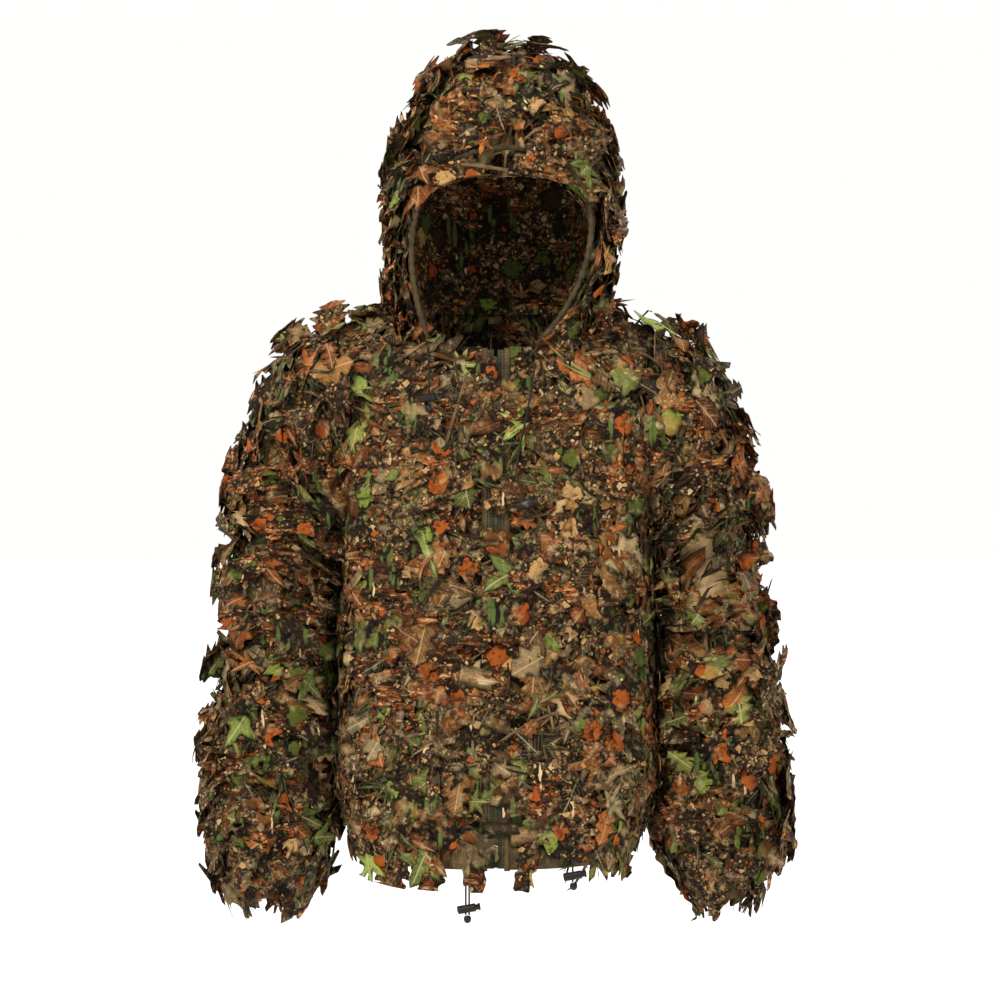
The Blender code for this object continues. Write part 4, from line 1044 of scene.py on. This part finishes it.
def foot_line(grid):
    """The foot row of a grid, 'points' or 'normals', round the front left, the back and the front right."""
    left, back, right = (getattr(part, grid) for part in (FRONTS["left"], BACK, FRONTS["right"]))
    return np.concatenate([left[:, -1], back[1:, -1], right[-2::-1, -1]])


hem_path, hem_out = foot_line("points"), unit(foot_line("normals") * (1, 1, 0))
HEM_DROP, HEM_STATIONS = 0.0113, 420
index = np.linspace(0, len(hem_path) - 1, HEM_STATIONS)
hem_fine = catmull(hem_path, index) - (0, 0, HEM_DROP)
hem_fine_out = unit(catmull(hem_out, index))
hem_profile = oval(0.0036, 0.0135, 14)
hem_up = np.tile((0.0, 0.0, 1.0), (HEM_STATIONS, 1))
hem = swept("hem_casing_cloth", hem_fine, hem_fine_out, hem_up, hem_profile, BINDING,
            gather=gathers(HEM_STATIONS, 14, 0.22, 90, 5))
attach(hem, "jacket")
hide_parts("hem_casing", "hem_elastic_cord")
for drop, label in ((0.0085, "top"), (-0.0080, "foot")):
    row = stitches(f"hem_stitches_{label}", hem_fine + (0, 0, drop), hem_fine_out, off=0.0024)
    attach(row, "jacket")

arch_left, arch_right = hood_arch(0, -1, 60), hood_arch(0, 1, 60)
opening = np.concatenate([arch_left, arch_right[::-1][1:]])
BRIM_STATIONS = 300
opening = catmull(opening, np.linspace(0, len(opening) - 1, BRIM_STATIONS))
opening_along = unit(np.gradient(opening, axis=0))
opening_back = np.tile((0.0, 1.0, 0.0), (BRIM_STATIONS, 1))
opening_back = unit(opening_back - opening_along * (opening_back * opening_along).sum(1, keepdims=True))
opening_out = np.cross(opening_back, opening_along)
opening_out *= np.sign((opening_out * (opening - (0.0, 0.0, 0.13))).sum(1).mean())
brim = swept("hood_casing_cloth", opening, opening_out, opening_back, oval(0.0034, 0.0062, 14), BRIM,
             gather=gathers(BRIM_STATIONS, 14, 0.18, 55, 9))
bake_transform(brim)
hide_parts("hood_opening_casing", "hood_drawcord_in_casing")
row = stitches("hood_casing_stitches", opening + opening_out * 0.0036 + opening_back * 0.0030, opening_out)
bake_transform(row)

CUFF_STATIONS, CUFF_HEIGHT = 240, 0.027
for name, side in SIDES.items():
    turns = np.linspace(0, 2 * np.pi, CUFF_STATIONS, endpoint=False)
    body = f"lower_sleeve_{name}_body"
    rings = []
    for level in np.linspace(-0.5, 0.5, 9):
        bulge = 1 + 0.10 * math.cos(math.pi * level)
        pleat = 1 + 0.030 * np.sin(34 * turns + 3 * level) * math.cos(math.pi * level * 0.7)
        x = side * CUFF_CENTRE[0] + CUFF_HALF[0] * np.cos(turns) * bulge * pleat
        y = CUFF_CENTRE[1] + CUFF_HALF[1] * np.sin(turns) * bulge * pleat
        rings.append(np.stack([x, y, np.full(CUFF_STATIONS, CUFF_CENTRE[2] - level * CUFF_HEIGHT)], 1))
    rings = np.array(rings)
    centre = np.array((side * CUFF_CENTRE[0], CUFF_CENTRE[1], CUFF_CENTRE[2]))
    inside = (rings - centre) * np.array((0.93, 0.93, 0.97)) + centre
    skin = np.concatenate([rings, inside[::-1]])
    rows, cols = skin.shape[:2]
    grid = np.arange(rows * cols).reshape(rows, cols)
    beside, below, opposite = np.roll(grid, -1, 1), np.roll(grid, -1, 0), np.roll(grid, (-1, -1), (0, 1))
    faces = np.stack([grid, beside, opposite, below], 2).reshape(-1, 4)
    cuff = solid(f"cuff_{name}_cloth", skin.reshape(-1, 3), faces, BINDING)
    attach(cuff, body)
    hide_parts(f"cuff_casing_{name}", f"cuff_elastic_{name}")
    out = unit((rings[2] - centre) * (1, 1, 0))
    row = stitches(f"cuff_{name}_stitches", rings[2], out)
    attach(row, body)

# ------------------------------------------------------------------ zip
ZIP_DOWN = unit(ZIP_FOOT - ZIP_TOP)
ZIP_OUT = np.array((0.0, ZIP_DOWN[2], -ZIP_DOWN[1]))
ZIP_LENGTH = float(np.linalg.norm(ZIP_FOOT - ZIP_TOP))


def zip_point(across, along, out):
    """A point by its distance across, down and out from the top of the zip."""
    return ZIP_TOP + np.array((across, 0, 0)) + ZIP_DOWN * along + ZIP_OUT * out


def zip_strip(name, near, far, start, end, thick, material, wave=0.0, round_edge=False):
    stations = np.linspace(start, end, 200)
    middle = (near + far) / 2
    path = np.array([zip_point(middle, s, wave * math.sin(s * 70 + near * 900)) for s in stations])
    profile = oval(abs(far - near) / 2, thick, 12, 0.7 if round_edge else 0.35)
    return swept(name, path, np.tile((1.0, 0, 0), (200, 1)), np.tile(ZIP_OUT, (200, 1)), profile, material)


def zip_teeth(name, side):
    points, faces = [], []
    pitch = 0.0020
    start, end = 0.013, ZIP_LENGTH - 0.017
    count = int((end - start) / pitch)
    for k in range(count):
        at = start + pitch * (k + (0.5 if side > 0 else 0.0))
        base = len(points)
        for across, half in ((-0.00055, 0.00040), (0.00020, 0.00075), (0.0014, 0.00052), (0.0027, 0.00050)):
            for out in (-0.0011, 0.0011):
                for along in (-half, half):
                    points.append(zip_point(side * across, at + along, out))
        for r in range(3):
            a, b = base + 4 * r, base + 4 * r + 4
            faces += [(a, a + 1, b + 1, b), (a + 1, a + 3, b + 3, b + 1),
                      (a + 3, a + 2, b + 2, b + 3), (a + 2, a, b, b + 2)]
        faces += [(base, base + 2, base + 3, base + 1), (base + 12, base + 13, base + 15, base + 14)]
    return solid(name, points, faces, TEETH, smooth=False)


for name, side in SIDES.items():
    tape = zip_strip(f"zip_tape_{name}_cloth", side * 0.0022, side * 0.0124, 0.004, ZIP_LENGTH - 0.001,
                     0.00045, TAPE)
    teeth = zip_teeth(f"zip_teeth_{name}_chain", side)
    edge = zip_strip(f"front_edge_{name}_cloth", side * 0.0098, side * 0.0168, 0.002, ZIP_LENGTH + 0.002,
                     0.0016, BINDING, 0.0004, True)
    rows = []
    for k, (across, out) in enumerate(((0.0122, 0.0016), (0.0083, 0.0006))):
        line = [zip_point(side * across, s, out) for s in np.linspace(0.006, ZIP_LENGTH - 0.004, 60)]
        rows.append(stitches(f"front_edge_{name}_stitches_{k}", line, np.tile(ZIP_OUT, (60, 1))))
    for piece in [tape, teeth, edge] + rows:
        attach(piece, "jacket")
    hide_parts(f"zip_tape_{name}")
    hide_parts(f"zip_teeth_{name}")
    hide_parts(f"front_edge_binding_{name}")

# ------------------------------------------------------------------ cords, locks and fittings
CORD_ROUTES = {
    "hood_cord_left": ([(-0.0783, -0.0804, -0.0196), (-0.0816, -0.0869, -0.0163), (-0.0795, -0.1135, -0.044),
                        (-0.08, -0.1143, -0.054), (-0.08, -0.1152, -0.064), (-0.08, -0.1161, -0.074),
                        (-0.08, -0.1170, -0.084)], 0.0013),
    "hood_cord_right": ([(0.0472, -0.0929, -0.0231), (0.0491, -0.1005, -0.0216), (0.044, -0.1145, -0.056),
                         (0.039, -0.1171, -0.085), (0.033, -0.1197, -0.115), (0.027, -0.1222, -0.143),
                         (0.025, -0.1242, -0.166), (0.029, -0.1256, -0.181), (0.033, -0.1269, -0.196),
                         (0.037, -0.1282, -0.211)], 0.0013),
}


def hanging(node, count):
    """Points down the middle of a straight hanging cord, from its upper end to its lower end."""
    low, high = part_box(node)
    x, y = (low[0] + high[0]) / 2, (low[1] + high[1]) / 2
    return [(x, y, mix(high[2], low[2], s)) for s in np.linspace(0, 1, count)]


for strand in ("hem_cord_left_outer_strand", "hem_cord_left_inner_strand"):
    CORD_ROUTES[strand] = (hanging(strand, 8), 0.0011)
cord_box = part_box("hem_cord_right")
eyelet, lock = (np.mean(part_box("hem_cord_right_" + part), axis=0) for part in ("eyelet", "lock_body"))
x, y = lock[0], cord_box[0][1] + 0.0011
CORD_ROUTES["hem_cord_right"] = (
    [tuple(eyelet), (mix(eyelet[0], x, 0.6), mix(eyelet[1], y, 0.75), eyelet[2] - 0.0006),
     (x, y, eyelet[2] - 0.0075), (x, y, eyelet[2] - 0.013), (x, y, eyelet[2] - 0.020),
     (x, y, cord_box[0][2])], 0.0011)
for name, (route, radius) in CORD_ROUTES.items():
    made, line = tube(name + "_braid", route, radius, BRAID)
    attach(made, "jacket")
    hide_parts(name)

FITTINGS = {"_eyelet": METAL, "_lock_body": PLASTIC, "_lock_button": PLASTIC, "_lock_spring": STEEL,
            "_end": PLASTIC, "zip_slider": METAL, "zip_pull_tab": METAL, "zip_retainer_box": PLASTIC}
for node, thing in NODES.items():
    for ending, material in FITTINGS.items():
        if node.endswith(ending):
            for place in range(len(thing.data.materials)):
                thing.data.materials[place] = material

# ------------------------------------------------------------------ floor, light and camera
FLOOR_Z, FLOOR_HALF = -1.45, 60.0
corners = [(x * FLOOR_HALF, y * FLOOR_HALF, FLOOR_Z) for x, y in ((-1, -1), (1, -1), (1, 1), (-1, 1))]
floor_paint = Paint("studio_floor")
floor = mesh_object("studio_floor", corners, [(0, 1, 2, 3)],
                    floor_paint.done(colour(250, 250, 249), 0.95, specular=0.0))
floor_paint.surface.inputs["Emission Color"].default_value = colour(255, 255, 255)
floor_paint.surface.inputs["Emission Strength"].default_value = 0.35
world = bpy.data.worlds.new("studio_light")
world.use_nodes = True
world.node_tree.nodes["Background"].inputs["Color"].default_value = colour(255, 255, 254)
world.node_tree.nodes["Background"].inputs["Strength"].default_value = 1.0
bpy.context.scene.world = world
bpy.context.scene.view_settings.view_transform = "Standard"


def area_light(name, place, aim, size, power):
    data = bpy.data.lights.new(name, "AREA")
    data.size, data.energy = size, power
    data.color = (1.0, 0.93, 0.82)
    lamp = bpy.data.objects.new(name, data)
    lamp.location = place
    lamp.rotation_euler = (Vector(aim) - Vector(place)).to_track_quat("-Z", "Y").to_euler()
    bpy.context.scene.collection.objects.link(lamp)


area_light("key", (-1.5, -2.4, 2.0), (0, 0, -0.15), 0.8, 150)
area_light("fill", (2.2, -2.2, 0.6), (0, 0, -0.2), 1.4, 26)
area_light("top", (0.2, 0.4, 2.6), (0, 0, -0.1), 1.4, 42)
area_light("back", (1.6, 2.7, 1.5), (0, 0, -0.2), 1.6, 60)

camera_data = bpy.data.cameras.new("photo_view")
camera_data.lens, camera_data.sensor_width = 120.0, 36.0
camera = bpy.data.objects.new("photo_view", camera_data)
camera.location = (0.005, -4.1, -0.199)
camera.rotation_euler = (math.radians(90), 0, 0)
bpy.context.scene.collection.objects.link(camera)
bpy.context.scene.camera = camera
